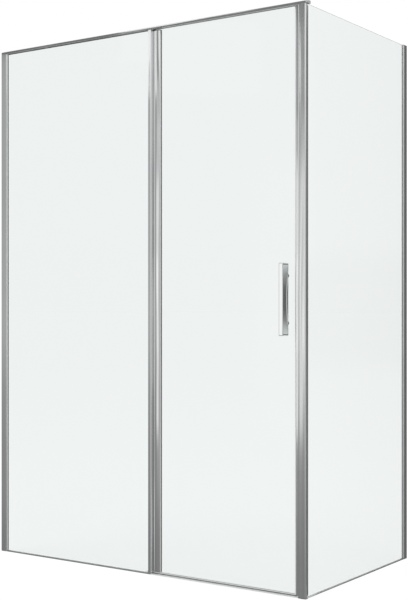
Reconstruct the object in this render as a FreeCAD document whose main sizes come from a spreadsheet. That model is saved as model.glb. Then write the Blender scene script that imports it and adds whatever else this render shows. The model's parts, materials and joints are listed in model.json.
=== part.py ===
import FreeCAD, Part
import os
import re
import Sketcher

# A corner shower enclosure: a fixed pane and a sliding door along the front, a fixed pane along the side.
# Millimetres. The layout is measured from the left wall (x), the front face (y) and the floor (z);
# every piece is then set back so that the origin is the middle of the footprint, on the floor.

SIZES = (
    ("overall_width", 1400.0),  # left wall to the outside of the rail's end cap
    ("overall_depth", 792.0),  # front face of the post to the back wall
    ("overall_height", 2000.0),
    ("glass_thickness", 6.0),
    ("glass_tip_gap", 1.0),  # from a pane's edge to the bottom of its pocket
    ("seat_gap", 0.8),  # gasket between a pane and the leg of a profile
    # wall channels and the profiles that telescope in them
    ("channel_reach", 24.0),
    ("channel_wall", 1.3),
    ("slip_gap", 0.2),  # clearance between nested profiles
    ("profile_start", 8.0),  # from the wall to the web of the glass profile
    ("profile_show", 4.0),  # how far the glass profile stands out of its channel
    ("profile_wall", 1.2),
    ("wall_hole_radius", 3.0),
    ("wall_hole_end", 150.0),  # outer holes, from the floor and from the channel's top
    ("wall_hole_step", 550.0),  # inner holes, from the outer ones
    # gasket strips
    ("gasket_lip", 5.0),  # width that shows on the glass
    ("gasket_rise", 1.6),  # thickness of that lip
    ("gasket_bite", 10.0),  # part inside the profile
    # free edge of the fixed front panel
    ("fixed_panel_width", 750.5),  # left wall to the right face of the edge profile
    ("edge_width", 13.0),
    ("edge_side", 1.7),
    ("edge_web", 2.0),
    ("edge_round", 4.0),
    ("brush_width", 5.0),
    ("brush_inset", 9.0),  # brush's left side, from the profile's right face
    ("brush_gap", 0.4),  # between the brush and the door
    # profiles and blocks under the fixed panes
    ("sill_height", 6.5),
    ("sill_base", 1.0),
    ("sill_leg", 1.1),
    ("sill_joint", 0.9),  # silicone joint each side of the glass
    ("block_thickness", 1.5),
    ("block_length", 80.0),
    ("block_inset", 90.0),
    ("stack_gap", 0.2),  # upright pieces above the low ones
    # head rail
    ("rail_skin", 1.4),
    ("rail_lip", 1.5),  # thickness of the two tracks
    ("rail_partition", 1.2),
    ("fascia_drop", 13.5),  # lower edge of the fascia, below the rail's top
    ("fascia_step", 4.5),  # upper edge of the fascia, below the rail's top
    ("rail_chamfer", 1.5),
    ("rail_gasket", 1.8),  # gasket behind the fixed glass
    ("rail_gasket_height", 3.0),
    ("rail_glass_rise", 7.0),  # fixed glass above the fascia's lower edge
    ("infill_rise", 2.0),
    ("infill_height", 3.5),
    ("end_gap", 0.3),  # between the end of a strip and its neighbour
    ("cap_thickness", 2.0),
    ("cap_plug", 2.5),
    # running gear
    ("wheel_radius", 3.3),
    ("wheel_width", 3.0),
    ("wheel_gap", 0.5),  # beside a wheel
    ("wheel_top_gap", 0.4),
    ("track_gap", 0.3),  # under a wheel
    ("axle_radius", 1.2),
    ("axle_fit", 0.02),  # radial clearance of a wheel on its axle
    ("bearing_fit", 0.05),  # radial clearance of an axle in its block
    ("axle_inset", 10.0),  # from the end of a carriage to its axle
    ("carriage_length", 60.0),
    ("carriage_inset", 40.0),  # from the clamp's end to the carriage
    ("clamp_wall", 1.0),
    ("clamp_gap", 0.6),  # between the clamp and the rail's top
    ("clamp_hole_play", 0.5),
    ("clamp_bite", 2.2),
    ("slot_gap", 0.8),  # between the clamp and the edge of a track
    ("track_to_glass", 0.6),  # top of the door glass above the underside of the rail
    # sliding door
    ("door_overlap", 9.0),  # door profile behind the fixed panel's profile
    ("door_profile_width", 40.0),
    ("door_profile_side", 1.8),
    ("door_profile_wall", 1.4),
    ("door_chamber", 15.0),  # from the door's left face to its glass pocket
    ("door_profile_bulge", 1.6),  # rise of the rounded front face
    ("door_profile_round", 1.5),
    ("door_profile_foot", 8.6),  # lower end of the door profile, above the floor
    ("door_cap_thickness", 1.5),
    ("door_travel", 510.0),
    ("door_glass_foot", 4.5),
    ("seal_foot", 2.5),
    ("seal_top", 8.2),
    ("seal_side", 1.1),
    # magnetic closure
    ("magnet_gap", 0.3),
    ("magnet_width", 7.0),
    ("magnet_depth", 2.5),
    ("magnet_cover", 0.6),
    ("post_strip_reach", 5.0),
    ("post_strip_width", 10.0),
    ("cover_reach", 9.5),  # front flange that covers the closing gap
    ("cover_front", 3.0),
    ("cover_wall", 1.6),
    ("cover_round", 1.2),
    ("door_strip_reach", 10.2),
    ("door_strip_leg", 5.5),
    ("door_strip_side", 1.2),
    # corner post
    ("post_width", 30.0),
    ("post_wall", 1.6),
    ("post_round", 4.0),
    ("pocket_gasket", 2.4),  # each side of the side glass
    ("pocket_floor", 6.5),  # bottom of the pocket, behind the front face
    ("pocket_mouth", 14.0),  # outer flange ends here, behind the front face
    ("foot_thickness", 2.0),
    ("plug_height", 40.0),
    ("side_cap_thickness", 1.5),
    # threshold and guide
    ("threshold_front", 1.0),
    ("threshold_depth", 28.0),
    ("threshold_base", 2.0),
    ("threshold_nose", 0.8),
    ("dam_width", 1.6),
    ("dam_height", 6.0),
    ("guide_length", 30.0),
    ("guide_back", 2.5),  # guide's right end, left of the fixed panel's right face
    ("guide_base", 1.8),
    ("guide_cheek", 3.0),
    ("guide_gap", 0.4),
    ("guide_height", 7.6),
    ("guide_tab", 18.0),
    ("guide_tab_thickness", 4.0),
    ("guide_hole_radius", 2.25),
    # grip
    ("grip_width", 16.0),
    ("grip_reach", 38.0),
    ("grip_height", 246.0),
    ("grip_level", 1000.0),
    ("grip_inset", 31.0),  # from the door glass's right edge
    ("scoop_depth", 4.0),  # finger scoop in each side of the grip
    ("scoop_border", 9.0),  # solid metal in front of and behind a scoop
    ("scoop_end", 3.0),  # solid metal above and below it
    ("scoop_slope", 26.0),  # length of a scoop's curved end
    ("grip_screw_spacing", 160.0),
    ("grip_screw_radius", 2.5),
    ("grip_screw_bite", 12.0),
    ("grip_head_radius", 6.0),
    ("grip_head_height", 3.0),
    ("sleeve_wall", 1.8),
    ("sleeve_play", 0.1),
    ("sleeve_flange", 0.7),
    ("sleeve_flange_radius", 7.0),
    # small fasteners
    ("screw_radius", 1.6),
    ("screw_fit", 0.02),
    ("screw_hole_play", 0.2),
    ("screw_head_radius", 3.2),
    ("screw_head_height", 1.8),
    ("screw_from_wall", 13.5),
    ("screw_tip_gap", 0.5),
    ("screw_cap_radius", 5.0),
    ("screw_cap_height", 3.5),
    ("screw_cap_wall", 0.9),
    ("rail_screw_length", 5.0),
    ("rail_screw_inset", 6.0),
    ("rail_screw_spacing", 12.0),
    ("bracket_plate", 2.5),
    ("bracket_length", 25.0),
    ("bracket_prong", 4.3),
    ("bracket_hole_radius", 2.25),
    ("block_play", 0.2),  # round a block in the rail or a plug in the post
    ("stop_length", 14.0),
    ("buffer_length", 3.5),
    ("buffer_gap", 0.5),
    ("set_screw_radius", 1.5),
)

# Places that follow from the sizes.
PLACES = {
    "origin_x": "overall_width / 2",
    "origin_y": "(overall_depth + grip_front) / 2",
    "profile_top": "overall_height - fascia_drop",
    "half_glass": "glass_thickness / 2",
    # fixed front panel
    "pocket_half": "half_glass + seat_gap",
    "profile_half": "pocket_half + profile_wall",
    "channel_half": "profile_half + slip_gap + channel_wall",
    "fixed_centre": "channel_half",
    "fixed_front": "fixed_centre - half_glass",
    "fixed_back": "fixed_centre + half_glass",
    "profile_end": "channel_reach + profile_show",
    "fixed_glass_left": "profile_start + profile_wall + glass_tip_gap",
    "fixed_glass_right": "fixed_panel_width - edge_web - glass_tip_gap",
    "fixed_glass_top": "profile_top + rail_glass_rise",
    "edge_left": "fixed_panel_width - edge_width",
    "edge_half": "pocket_half + edge_side",
    "edge_back": "fixed_centre + edge_half",
    "pane_foot": "sill_base + block_thickness",
    "sill_half": "half_glass + sill_joint + sill_leg",
    # rail, from front to back and from the top down
    "pocket_back": "fixed_back + rail_gasket",
    "cavity_front": "pocket_back + rail_partition",
    "clamp_front": "cavity_front + 2 * wheel_gap + wheel_width",
    "clamp_width": "glass_thickness + 2 * clamp_wall",
    "clamp_back": "clamp_front + clamp_width",
    "cavity_back": "clamp_back + 2 * wheel_gap + wheel_width",
    "rail_depth": "cavity_back + rail_skin",
    "cavity_top": "overall_height - rail_skin",
    "track_top": "cavity_top - wheel_top_gap - 2 * wheel_radius - track_gap",
    "rail_under": "track_top - rail_lip",
    "axle_level": "track_top + track_gap + wheel_radius",
    "step_top": "overall_height - fascia_step",
    "pocket_top": "step_top - rail_skin",
    "slot_front": "clamp_front - slot_gap",
    "slot_back": "clamp_back + slot_gap",
    "block_foot": "track_top + block_play",
    "block_head": "cavity_top - block_play",
    "block_front": "cavity_front + block_play",
    "block_back": "cavity_back - block_play",
    # corner post
    "post_right": "overall_width - cap_thickness",
    "post_left": "post_right - post_width",
    "flange_inner": "post_right - post_wall",
    "side_centre": "flange_inner - pocket_gasket - half_glass",
    "pocket_inner": "side_centre - half_glass - pocket_gasket",
    # door
    "door_centre": "clamp_front + clamp_width / 2",
    "door_front": "door_centre - half_glass",
    "door_back": "door_centre + half_glass",
    "door_left": "fixed_panel_width - door_overlap",
    "door_profile_right": "door_left + door_profile_width",
    "door_profile_half": "pocket_half + door_profile_side",
    "door_profile_front": "door_centre - door_profile_half - door_profile_bulge",
    "door_profile_head": "profile_top - door_cap_thickness",
    "door_glass_left": "door_left + door_chamber + glass_tip_gap",
    "post_strip_left": "post_left - post_strip_reach",
    "door_glass_right": "post_strip_left - magnet_gap - door_strip_reach",
    "door_glass_top": "rail_under + track_to_glass",
    "clamp_foot": "door_glass_top - clamp_bite",
    "clamp_top": "cavity_top - clamp_gap",
    "seal_half": "half_glass + seal_side",
    "left_carriage": "door_left + carriage_inset",
    "right_carriage": "door_glass_right - carriage_inset - carriage_length",
    "right_stop": "door_glass_right + buffer_gap + buffer_length",
    "left_stop": "door_left - door_travel - buffer_gap - buffer_length - stop_length",
    "connector_left": "right_stop + stop_length + block_play",
    # side panel
    "side_glass_front": "pocket_floor + glass_tip_gap",
    "side_glass_back": "overall_depth - fixed_glass_left",
    "side_profile_front": "overall_depth - profile_end",
    "side_top": "rail_under - end_gap",
    # grip
    "grip_right": "door_glass_right - grip_inset",
    "grip_left": "grip_right - grip_width",
    "grip_middle": "grip_right - grip_width / 2",
    "grip_back": "door_front - sleeve_flange",
    "grip_front": "grip_back - grip_reach",
    "scoop_radius": "(scoop_slope * scoop_slope + scoop_depth * scoop_depth) / (2 * scoop_depth)",
    "scoop_half": "grip_height / 2 - scoop_end - scoop_slope",
    "sleeve_bore": "grip_screw_radius + sleeve_play",
    "sleeve_radius": "sleeve_bore + sleeve_wall",
}

doc = FreeCAD.newDocument("shower_enclosure")
sheet = doc.addObject("Spreadsheet::Sheet", "Sizes")
for row, (alias, number) in enumerate(SIZES, start=1):
    sheet.set(f"A{row}", alias)
    sheet.set(f"B{row}", str(number))
    sheet.setAlias(f"B{row}", alias)
doc.recompute()
ALIASES = {alias for alias, number in SIZES}
pieces = []


# ---------------------------------------------------------------- formulas and places


def formula(text):
    """The formula with each size as a reference to the sheet and each place written out."""

    def swap(match):
        word = match.group(0)
        if word in ALIASES:
            return "Sizes." + word
        return "(" + formula(PLACES[word]) + ")"

    return re.sub(r"[a-z][a-z_]*", swap, str(text))


def value(text):
    return float(sheet.evalExpression(formula(text)))


def bind(thing, **formulas):
    """Bind properties of an object, such as Length, to formulas."""
    for name, text in formulas.items():
        thing.setExpression(name, formula(text))
    return thing


def place(thing, at):
    """Bind the position of an object, given in the layout's coordinates."""
    for axis, text, origin in zip("xyz", at, ("origin_x", "origin_y", "0")):
        thing.setExpression(f"Placement.Base.{axis}", formula(f"{text} - {origin}"))
    return thing


def finished(label, thing):
    """Name a finished piece and keep it for the export."""
    thing.Label = label
    pieces.append((label, thing))
    return thing


# ---------------------------------------------------------------- sketches and bodies


def new_sketch(body, role):
    """A sketch on one of the body's own origin planes."""
    plane = next(feature for feature in body.Origin.OriginFeatures if feature.Role == role)
    sketch = body.newObject("Sketcher::SketchObject", "Sketch")
    sketch.AttachmentSupport = [(plane, "")]
    sketch.MapMode = "FlatFace"
    return sketch


def constrain(sketch, text, kind, *where):
    """Add a dimension to a sketch and bind it to a formula."""
    index = sketch.addConstraint(Sketcher.Constraint(kind, *where, value(text)))
    sketch.setExpression(f"Constraints[{index}]", formula(text))


def draw_outline(sketch, outline):
    """A closed outline of corners (x, y). A third entry is the rise, to the right, of an arc."""
    points = [FreeCAD.Vector(value(corner[0]), value(corner[1]), 0) for corner in outline]
    ends = []
    for index, corner in enumerate(outline):
        start = points[index]
        end = points[(index + 1) % len(points)]
        if len(corner) == 2:
            number = sketch.addGeometry(Part.LineSegment(start, end))
        else:
            along = (end - start).normalize()
            middle = (start + end) / 2 + FreeCAD.Vector(along.y, -along.x, 0) * value(corner[2])
            number = sketch.addGeometry(Part.Arc(start, middle, end))
        forward = sketch.getPoint(number, 1).distanceToPoint(start) < 1e-6
        ends.append((number, 1, 2) if forward else (number, 2, 1))
    for index, corner in enumerate(outline):
        number, first, last = ends[index]
        following = ends[(index + 1) % len(ends)]
        sketch.addConstraint(Sketcher.Constraint("Coincident", number, last, following[0], following[1]))
        constrain(sketch, corner[0], "DistanceX", -1, 1, number, first)
        constrain(sketch, corner[1], "DistanceY", -1, 1, number, first)
        if len(corner) == 3:
            target = outline[(index + 1) % len(outline)]
            width, height = (f"(({target[axis]}) - ({corner[axis]}))" for axis in (0, 1))
            chord_square = f"({width} * {width} + {height} * {height})"
            rise = f"({corner[2]})"
            constrain(sketch, f"({chord_square} / 4 + {rise} * {rise}) / (2 * {rise})", "Radius", number)


def new_body(label, at):
    return place(doc.addObject("PartDesign::Body", label), at)


def extrusion(label, role, outlines, length, at):
    """A body padded from outlines on an origin plane; the first is the outside, the others are voids."""
    body = new_body(label, at)
    sketch = new_sketch(body, role)
    for outline in outlines:
        draw_outline(sketch, outline)
    pad = body.newObject("PartDesign::Pad", "Pad")
    pad.Profile = sketch
    bind(pad, Length=length)
    doc.recompute()
    return body


def round_upright_edges(body, radius, spots):
    """Fillet the upright edges that stand at the given spots of the body's own frame."""
    tip = body.Tip
    wanted = [(value(spot[0]), value(spot[1])) for spot in spots]
    names = []
    for index, edge in enumerate(tip.Shape.Edges, start=1):
        low, high = edge.Vertexes[0].Point, edge.Vertexes[-1].Point
        upright = abs(low.x - high.x) < 1e-6 and abs(low.y - high.y) < 1e-6
        if upright and any(abs(low.x - x) < 1e-6 and abs(low.y - y) < 1e-6 for x, y in wanted):
            names.append(f"Edge{index}")
    if len(names) != len(spots):
        raise ValueError(f"{body.Label}: {len(names)} of {len(spots)} edges were found")
    fillet = body.newObject("PartDesign::Fillet", "Round")
    fillet.Base = (tip, names)
    bind(fillet, Radius=radius)
    doc.recompute()
    return body


# ---------------------------------------------------------------- primitives and booleans

TURNS = {
    "x": FreeCAD.Rotation(FreeCAD.Vector(0, 1, 0), 90),
    "-x": FreeCAD.Rotation(FreeCAD.Vector(0, 1, 0), -90),
    "y": FreeCAD.Rotation(FreeCAD.Vector(1, 0, 0), -90),
    "-y": FreeCAD.Rotation(FreeCAD.Vector(1, 0, 0), 90),
    "z": FreeCAD.Rotation(),
}
OPPOSITE = {"x": "-x", "-x": "x", "y": "-y", "-y": "y"}


def box(label, low, high):
    """A block between two corners of the layout."""
    block = doc.addObject("Part::Box", label)
    for name, start, end in zip(("Length", "Width", "Height"), low, high):
        block.setExpression(name, formula(f"({end}) - ({start})"))
    return place(block, low)


def rod(label, radius, length, at, way):
    """A cylinder that starts at a point and runs along one axis."""
    cylinder = doc.addObject("Part::Cylinder", label)
    bind(cylinder, Radius=radius, Height=length)
    cylinder.Placement = FreeCAD.Placement(FreeCAD.Vector(), TURNS[way])
    return place(cylinder, at)


def fuse(label, *shapes):
    result = doc.addObject("Part::MultiFuse", label)
    result.Shapes = list(shapes)
    return result


def group(label, members):
    """Separate solids under one name."""
    result = doc.addObject("Part::Compound", label)
    result.Links = list(members)
    return result


def cut(label, base, tools):
    """The base with every tool taken away."""
    result = doc.addObject("Part::Cut", label)
    result.Base = base
    result.Tool = tools[0] if len(tools) == 1 else group(label + "_tools", tools)
    return result


PAN_HEAD = ("screw_head_radius", "screw_head_height")


def pan_screw(label, length, seat, way, radius="screw_radius", head=PAN_HEAD):
    """A screw whose head rests on a seat; way is where its tip points."""
    shank = rod(label + "_shank", radius, length, seat, way)
    return fuse(label, shank, rod(label + "_head", head[0], head[1], seat, OPPOSITE[way]))


# ---------------------------------------------------------------- sections used more than once


def channel_outline(reach, half, wall, turn):
    """A U section centred on the glass: its web at u = 0, its legs along +u."""
    points = (
        ("0", f"-({half})"),
        (reach, f"-({half})"),
        (reach, f"{wall} - ({half})"),
        (wall, f"{wall} - ({half})"),
        (wall, f"{half} - {wall}"),
        (reach, f"{half} - {wall}"),
        (reach, half),
        ("0", half),
    )
    return [turn(u, v) for u, v in points]


def gasket_outline(turn):
    """A strip between glass and profile, its lip outside: u runs out of the profile, v off the glass."""
    points = (
        ("0", "0"),
        ("gasket_bite + gasket_lip", "0"),
        ("gasket_bite + gasket_lip", "seat_gap"),
        ("gasket_bite + gasket_lip - seat_gap", "gasket_rise"),
        ("gasket_bite", "gasket_rise"),
        ("gasket_bite", "seat_gap"),
        ("0", "seat_gap"),
    )
    return [turn(u, v) for u, v in points]


def sill_outline(half, floor_height, top, side):
    """A U section open upwards, centred on the glass."""
    return [
        (f"-({half})", "0"),
        (half, "0"),
        (half, top),
        (f"{half} - {side}", top),
        (f"{half} - {side}", floor_height),
        (f"{side} - ({half})", floor_height),
        (f"{side} - ({half})", top),
        (f"-({half})", top),
    ]


def ahead(u, v):
    """u to the right, v backwards."""
    return (u, v)


def ahead_mirrored(u, v):
    return (u, f"-({v})")


def sideways(u, v):
    """u forwards from the back wall, v to the right."""
    return (v, f"-({u})")


def sideways_mirrored(u, v):
    return (f"-({v})", f"-({u})")


SCREW_HOLE = "screw_radius + screw_hole_play"
SCREW_BORE = "screw_radius + screw_fit"


def wall_fitting(side, turn, web, top):
    """Channel, glass profile, screws and caps at one wall. web is the wall's point on the glass line."""

    def spot(u, v, level):
        """A point u out of the wall and v off the glass line."""
        across, along = turn(u, v)
        return (f"{web[0]} + {across}", f"{web[1]} + {along}", level)

    inward = {"front": "-y", "side": "x"}[side]
    off_wall = {"front": "x", "side": "-y"}[side]
    screw_v = {"front": "channel_half", "side": "-(channel_half)"}[side]
    leg_v = {"front": "profile_half", "side": "-(profile_half)"}[side]
    inner_hole = "wall_hole_end + wall_hole_step"
    wall_holes = ("wall_hole_end", inner_hole, f"{top} - ({inner_hole})", f"{top} - wall_hole_end")
    screw_levels = ("wall_hole_end / 2", f"{top} / 2", f"{top} - wall_hole_end / 2")

    channel = extrusion(
        f"{side}_channel_body",
        "XY_Plane",
        [channel_outline("channel_reach", "channel_half", "channel_wall", turn)],
        top,
        spot("0", "0", "0"),
    )
    holes = [
        rod(f"{side}_wall_hole", "wall_hole_radius", "channel_wall * 2", spot("0", "0", level), off_wall)
        for level in wall_holes
    ]
    screw_seats = [spot("screw_from_wall", screw_v, level) for level in screw_levels]
    holes += [rod(f"{side}_screw_hole", SCREW_HOLE, "channel_wall", seat, inward) for seat in screw_seats]
    finished(f"{side}_wall_channel", cut(f"{side}_channel", channel, holes))

    profile = extrusion(
        f"{side}_profile_body",
        "XY_Plane",
        [channel_outline("profile_end - profile_start", "profile_half", "profile_wall", turn)],
        top,
        spot("profile_start", "0", "0"),
    )
    bore_seats = [spot("screw_from_wall", leg_v, level) for level in screw_levels]
    bores = [rod(f"{side}_screw_bore", SCREW_BORE, "profile_wall", seat, inward) for seat in bore_seats]
    finished(f"{side}_glass_profile", cut(f"{side}_profile", profile, bores))

    screw_length = "channel_wall + slip_gap + profile_wall + seat_gap - screw_tip_gap"
    screws = []
    caps = []
    for index, seat in enumerate(screw_seats, start=1):
        screws.append(pan_screw(f"{side}_screw_{index}", screw_length, seat, inward))
        outward = OPPOSITE[inward]
        shell = rod(f"{side}_cap_shell", "screw_cap_radius", "screw_cap_height", seat, outward)
        hollow = rod(
            f"{side}_cap_hollow",
            "screw_cap_radius - screw_cap_wall",
            "screw_cap_height - screw_cap_wall",
            seat,
            outward,
        )
        caps.append(cut(f"{side}_cap_{index}", shell, [hollow]))
    finished(f"{side}_adjusting_screws", group(f"{side}_screws", screws))
    finished(f"{side}_screw_caps", group(f"{side}_caps", caps))


def gasket_pair(label, members, foot, head):
    """Two gasket strips, one on each face of a pane; each member is (turn, x, y)."""
    length = f"{head} - ({foot})"
    strips = [
        extrusion(f"{label}_strip", "XY_Plane", [gasket_outline(turn)], length, (x, y, foot))
        for turn, x, y in members
    ]
    finished(label, group(label + "_pair", strips))


# ---------------------------------------------------------------- fixed front panel


def fixed_panel():
    wall_fitting("front", ahead, ("0", "fixed_centre"), "profile_top")
    finished(
        "fixed_glass",
        box(
            "fixed_pane",
            ("fixed_glass_left", "fixed_front", "pane_foot"),
            ("fixed_glass_right", "fixed_back", "fixed_glass_top"),
        ),
    )
    start = "profile_end - gasket_bite"
    gasket_pair(
        "fixed_glass_gaskets",
        ((ahead_mirrored, start, "fixed_front"), (ahead, start, "fixed_back")),
        "sill_height + stack_gap",
        "profile_top",
    )
    outline = [
        ("0", "-(edge_half)"),
        ("edge_width", "-(edge_half)"),
        ("edge_width", "edge_half"),
        ("0", "edge_half"),
        ("0", "pocket_half"),
        ("edge_width - edge_web", "pocket_half"),
        ("edge_width - edge_web", "-(pocket_half)"),
        ("0", "-(pocket_half)"),
    ]
    edge = extrusion(
        "fixed_edge", "XY_Plane", [outline], "profile_top", ("edge_left", "fixed_centre", "0")
    )
    round_upright_edges(edge, "edge_round", [("edge_width", "-(edge_half)")])
    finished("fixed_edge_profile", edge)
    brush_left = "fixed_panel_width - brush_inset"
    brush = box(
        "brush",
        (brush_left, "edge_back", "door_profile_foot + guide_height"),
        (f"{brush_left} + brush_width", "door_profile_front - brush_gap", "profile_top"),
    )
    finished("overlap_brush_seal", brush)


def fixed_sill():
    left = "profile_end + slip_gap"
    outline = sill_outline("sill_half", "sill_base", "sill_height", "sill_leg")
    length = f"edge_left - ({left})"
    sill = extrusion("fixed_sill", "YZ_Plane", [outline], length, (left, "fixed_centre", "0"))
    finished("fixed_bottom_profile", sill)
    blocks = [
        box(
            f"fixed_block_{index}",
            (start, "fixed_front", "sill_base"),
            (f"{start} + block_length", "fixed_back", "pane_foot"),
        )
        for index, start in enumerate(("block_inset", "edge_left - block_inset - block_length"), start=1)
    ]
    finished("fixed_setting_blocks", group("fixed_blocks", blocks))


# ---------------------------------------------------------------- head rail


def rail_outline():
    """The rail's section (y, z): fascia and glass pocket in front, roller track behind."""
    return [
        ("0", "profile_top"),
        ("rail_skin", "profile_top"),
        ("rail_skin", "pocket_top"),
        ("pocket_back", "pocket_top"),
        ("pocket_back", "rail_under"),
        ("slot_front", "rail_under"),
        ("slot_front", "track_top"),
        ("cavity_front", "track_top"),
        ("cavity_front", "cavity_top"),
        ("cavity_back", "cavity_top"),
        ("cavity_back", "track_top"),
        ("slot_back", "track_top"),
        ("slot_back", "rail_under"),
        ("rail_depth", "rail_under"),
        ("rail_depth", "overall_height"),
        ("pocket_back + rail_chamfer", "overall_height"),
        ("pocket_back", "overall_height - rail_chamfer"),
        ("pocket_back", "step_top"),
        ("0", "step_top"),
    ]


RAIL_SCREWS = (
    "rail_screw_inset",
    "rail_screw_inset + rail_screw_spacing",
    "connector_left + rail_screw_inset",
    "connector_left + rail_screw_inset + rail_screw_spacing",
)
SCREW_ROW = "(block_foot + block_head) / 2"


def head_rail():
    length = "post_right - bracket_plate"
    rail = extrusion("rail", "YZ_Plane", [rail_outline()], length, ("bracket_plate", "0", "0"))
    holes = [
        rod("rail_screw_hole", SCREW_HOLE, "rail_skin", (across, "cavity_back", SCREW_ROW), "y")
        for across in RAIL_SCREWS
    ]
    finished("head_rail", cut("rail_with_holes", rail, holes))
    screws = [
        pan_screw(f"rail_screw_{index}", "rail_screw_length", (across, "rail_depth", SCREW_ROW), "-y")
        for index, across in enumerate(RAIL_SCREWS, start=1)
    ]
    finished("rail_screws", group("four_rail_screws", screws))
    strip_foot = "rail_under + stack_gap"
    strips = [
        box(
            f"rail_gasket_{index}",
            ("fixed_glass_left", near, strip_foot),
            ("fixed_glass_right", far, f"{strip_foot} + rail_gasket_height"),
        )
        for index, (near, far) in enumerate((("rail_skin", "fixed_front"), ("fixed_back", "pocket_back")))
    ]
    finished("rail_glass_gaskets", group("rail_gaskets", strips))
    infill = box(
        "infill",
        ("fixed_panel_width + end_gap", "rail_skin", "profile_top + infill_rise"),
        ("post_left", "pocket_back", "profile_top + infill_rise + infill_height"),
    )
    finished("rail_infill_strip", infill)


def rail_end_plate(label, thickness, left):
    """A plate with the rail's outer contour."""
    outline = [
        ("0", "profile_top"),
        ("rail_skin", "profile_top"),
        ("rail_skin", "rail_under"),
        ("rail_depth", "rail_under"),
        ("rail_depth", "overall_height"),
        ("pocket_back + rail_chamfer", "overall_height"),
        ("pocket_back", "overall_height - rail_chamfer"),
        ("pocket_back", "step_top"),
        ("0", "step_top"),
    ]
    return extrusion(label, "YZ_Plane", [outline], thickness, (left, "0", "0"))


def rail_ends():
    prongs = [
        box(
            "bracket_prong",
            ("bracket_plate / 2", near, "block_foot"),
            ("bracket_length", f"{near} + bracket_prong", "block_head"),
        )
        for near in ("block_front", "block_back - bracket_prong")
    ]
    base = rail_end_plate("bracket_base", "bracket_plate", "0")
    bracket = fuse("bracket", base, *prongs)
    bores = [
        rod("bracket_bore", SCREW_BORE, "rail_screw_length", (across, "rail_depth", SCREW_ROW), "-y")
        for across in RAIL_SCREWS[:2]
    ]
    centre = ("0", "door_centre", SCREW_ROW)
    bores.append(rod("bracket_hole", "bracket_hole_radius", "bracket_plate", centre, "x"))
    finished("rail_wall_bracket", cut("bracket_with_holes", bracket, bores))
    plate = rail_end_plate("cap_plate", "cap_thickness", "post_right")
    plug = box(
        "cap_plug",
        ("post_right - cap_plug", "block_front", "block_foot"),
        ("post_right + cap_thickness / 2", "block_back", "block_head"),
    )
    finished("rail_end_cap", fuse("cap", plate, plug))


def rail_stops():
    blocks = []
    buffers = []
    screws = []
    screw_line = "(slot_back + cavity_back) / 2"
    for index, start in enumerate(("left_stop", "right_stop"), start=1):
        block = box(
            f"stop_block_{index}",
            (start, "block_front", "block_foot"),
            (f"{start} + stop_length", "block_back", "block_head"),
        )
        middle = f"{start} + stop_length / 2"
        bottom = (middle, screw_line, "block_foot")
        bore = rod("stop_bore", "set_screw_radius + screw_fit", "block_head - block_foot", bottom, "z")
        blocks.append(cut(f"stop_{index}", block, [bore]))
        length = "block_head - track_top - screw_tip_gap"
        tip = (middle, screw_line, "track_top")
        screws.append(rod(f"set_screw_{index}", "set_screw_radius", length, tip, "z"))
    for index, start in enumerate(("left_stop + stop_length", "right_stop - buffer_length"), start=1):
        buffers.append(
            box(
                f"buffer_{index}",
                (start, "clamp_front", "block_foot"),
                (f"{start} + buffer_length", "clamp_back", "block_head"),
            )
        )
    finished("rail_stops", group("stops", blocks))
    finished("rail_buffers", group("buffers", buffers))
    finished("stop_set_screws", group("set_screws", screws))


# ---------------------------------------------------------------- corner post


def corner_post():
    """A square tube with a pocket behind its outer half, where the side glass stands."""
    inner = "pocket_inner - post_left"
    outline = [
        ("0", "0"),
        ("post_width", "0"),
        ("post_width", "pocket_mouth"),
        ("post_width - post_wall", "pocket_mouth"),
        ("post_width - post_wall", "pocket_floor"),
        (inner, "pocket_floor"),
        (inner, "rail_depth"),
        ("0", "rail_depth"),
    ]
    chamber = [
        ("post_wall", "post_wall"),
        ("post_width - post_wall", "post_wall"),
        ("post_width - post_wall", "pocket_floor - post_wall"),
        (f"{inner} - post_wall", "pocket_floor - post_wall"),
        (f"{inner} - post_wall", "rail_depth - post_wall"),
        ("post_wall", "rail_depth - post_wall"),
    ]
    length = "profile_top - foot_thickness"
    post = extrusion("post", "XY_Plane", [outline, chamber], length, ("post_left", "0", "foot_thickness"))
    round_upright_edges(post, "post_round", [("post_width", "0")])
    round_upright_edges(post, "post_round - post_wall", [("post_width - post_wall", "post_wall")])
    finished("corner_post", post)


def post_plug(label, foot, head):
    """A block that fills the post's chamber behind its left half."""
    return box(
        label,
        ("post_left + post_wall + block_play", "post_wall + block_play", foot),
        (
            "pocket_inner - post_wall - block_play",
            "rail_depth - post_wall - block_play",
            head,
        ),
    )


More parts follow.
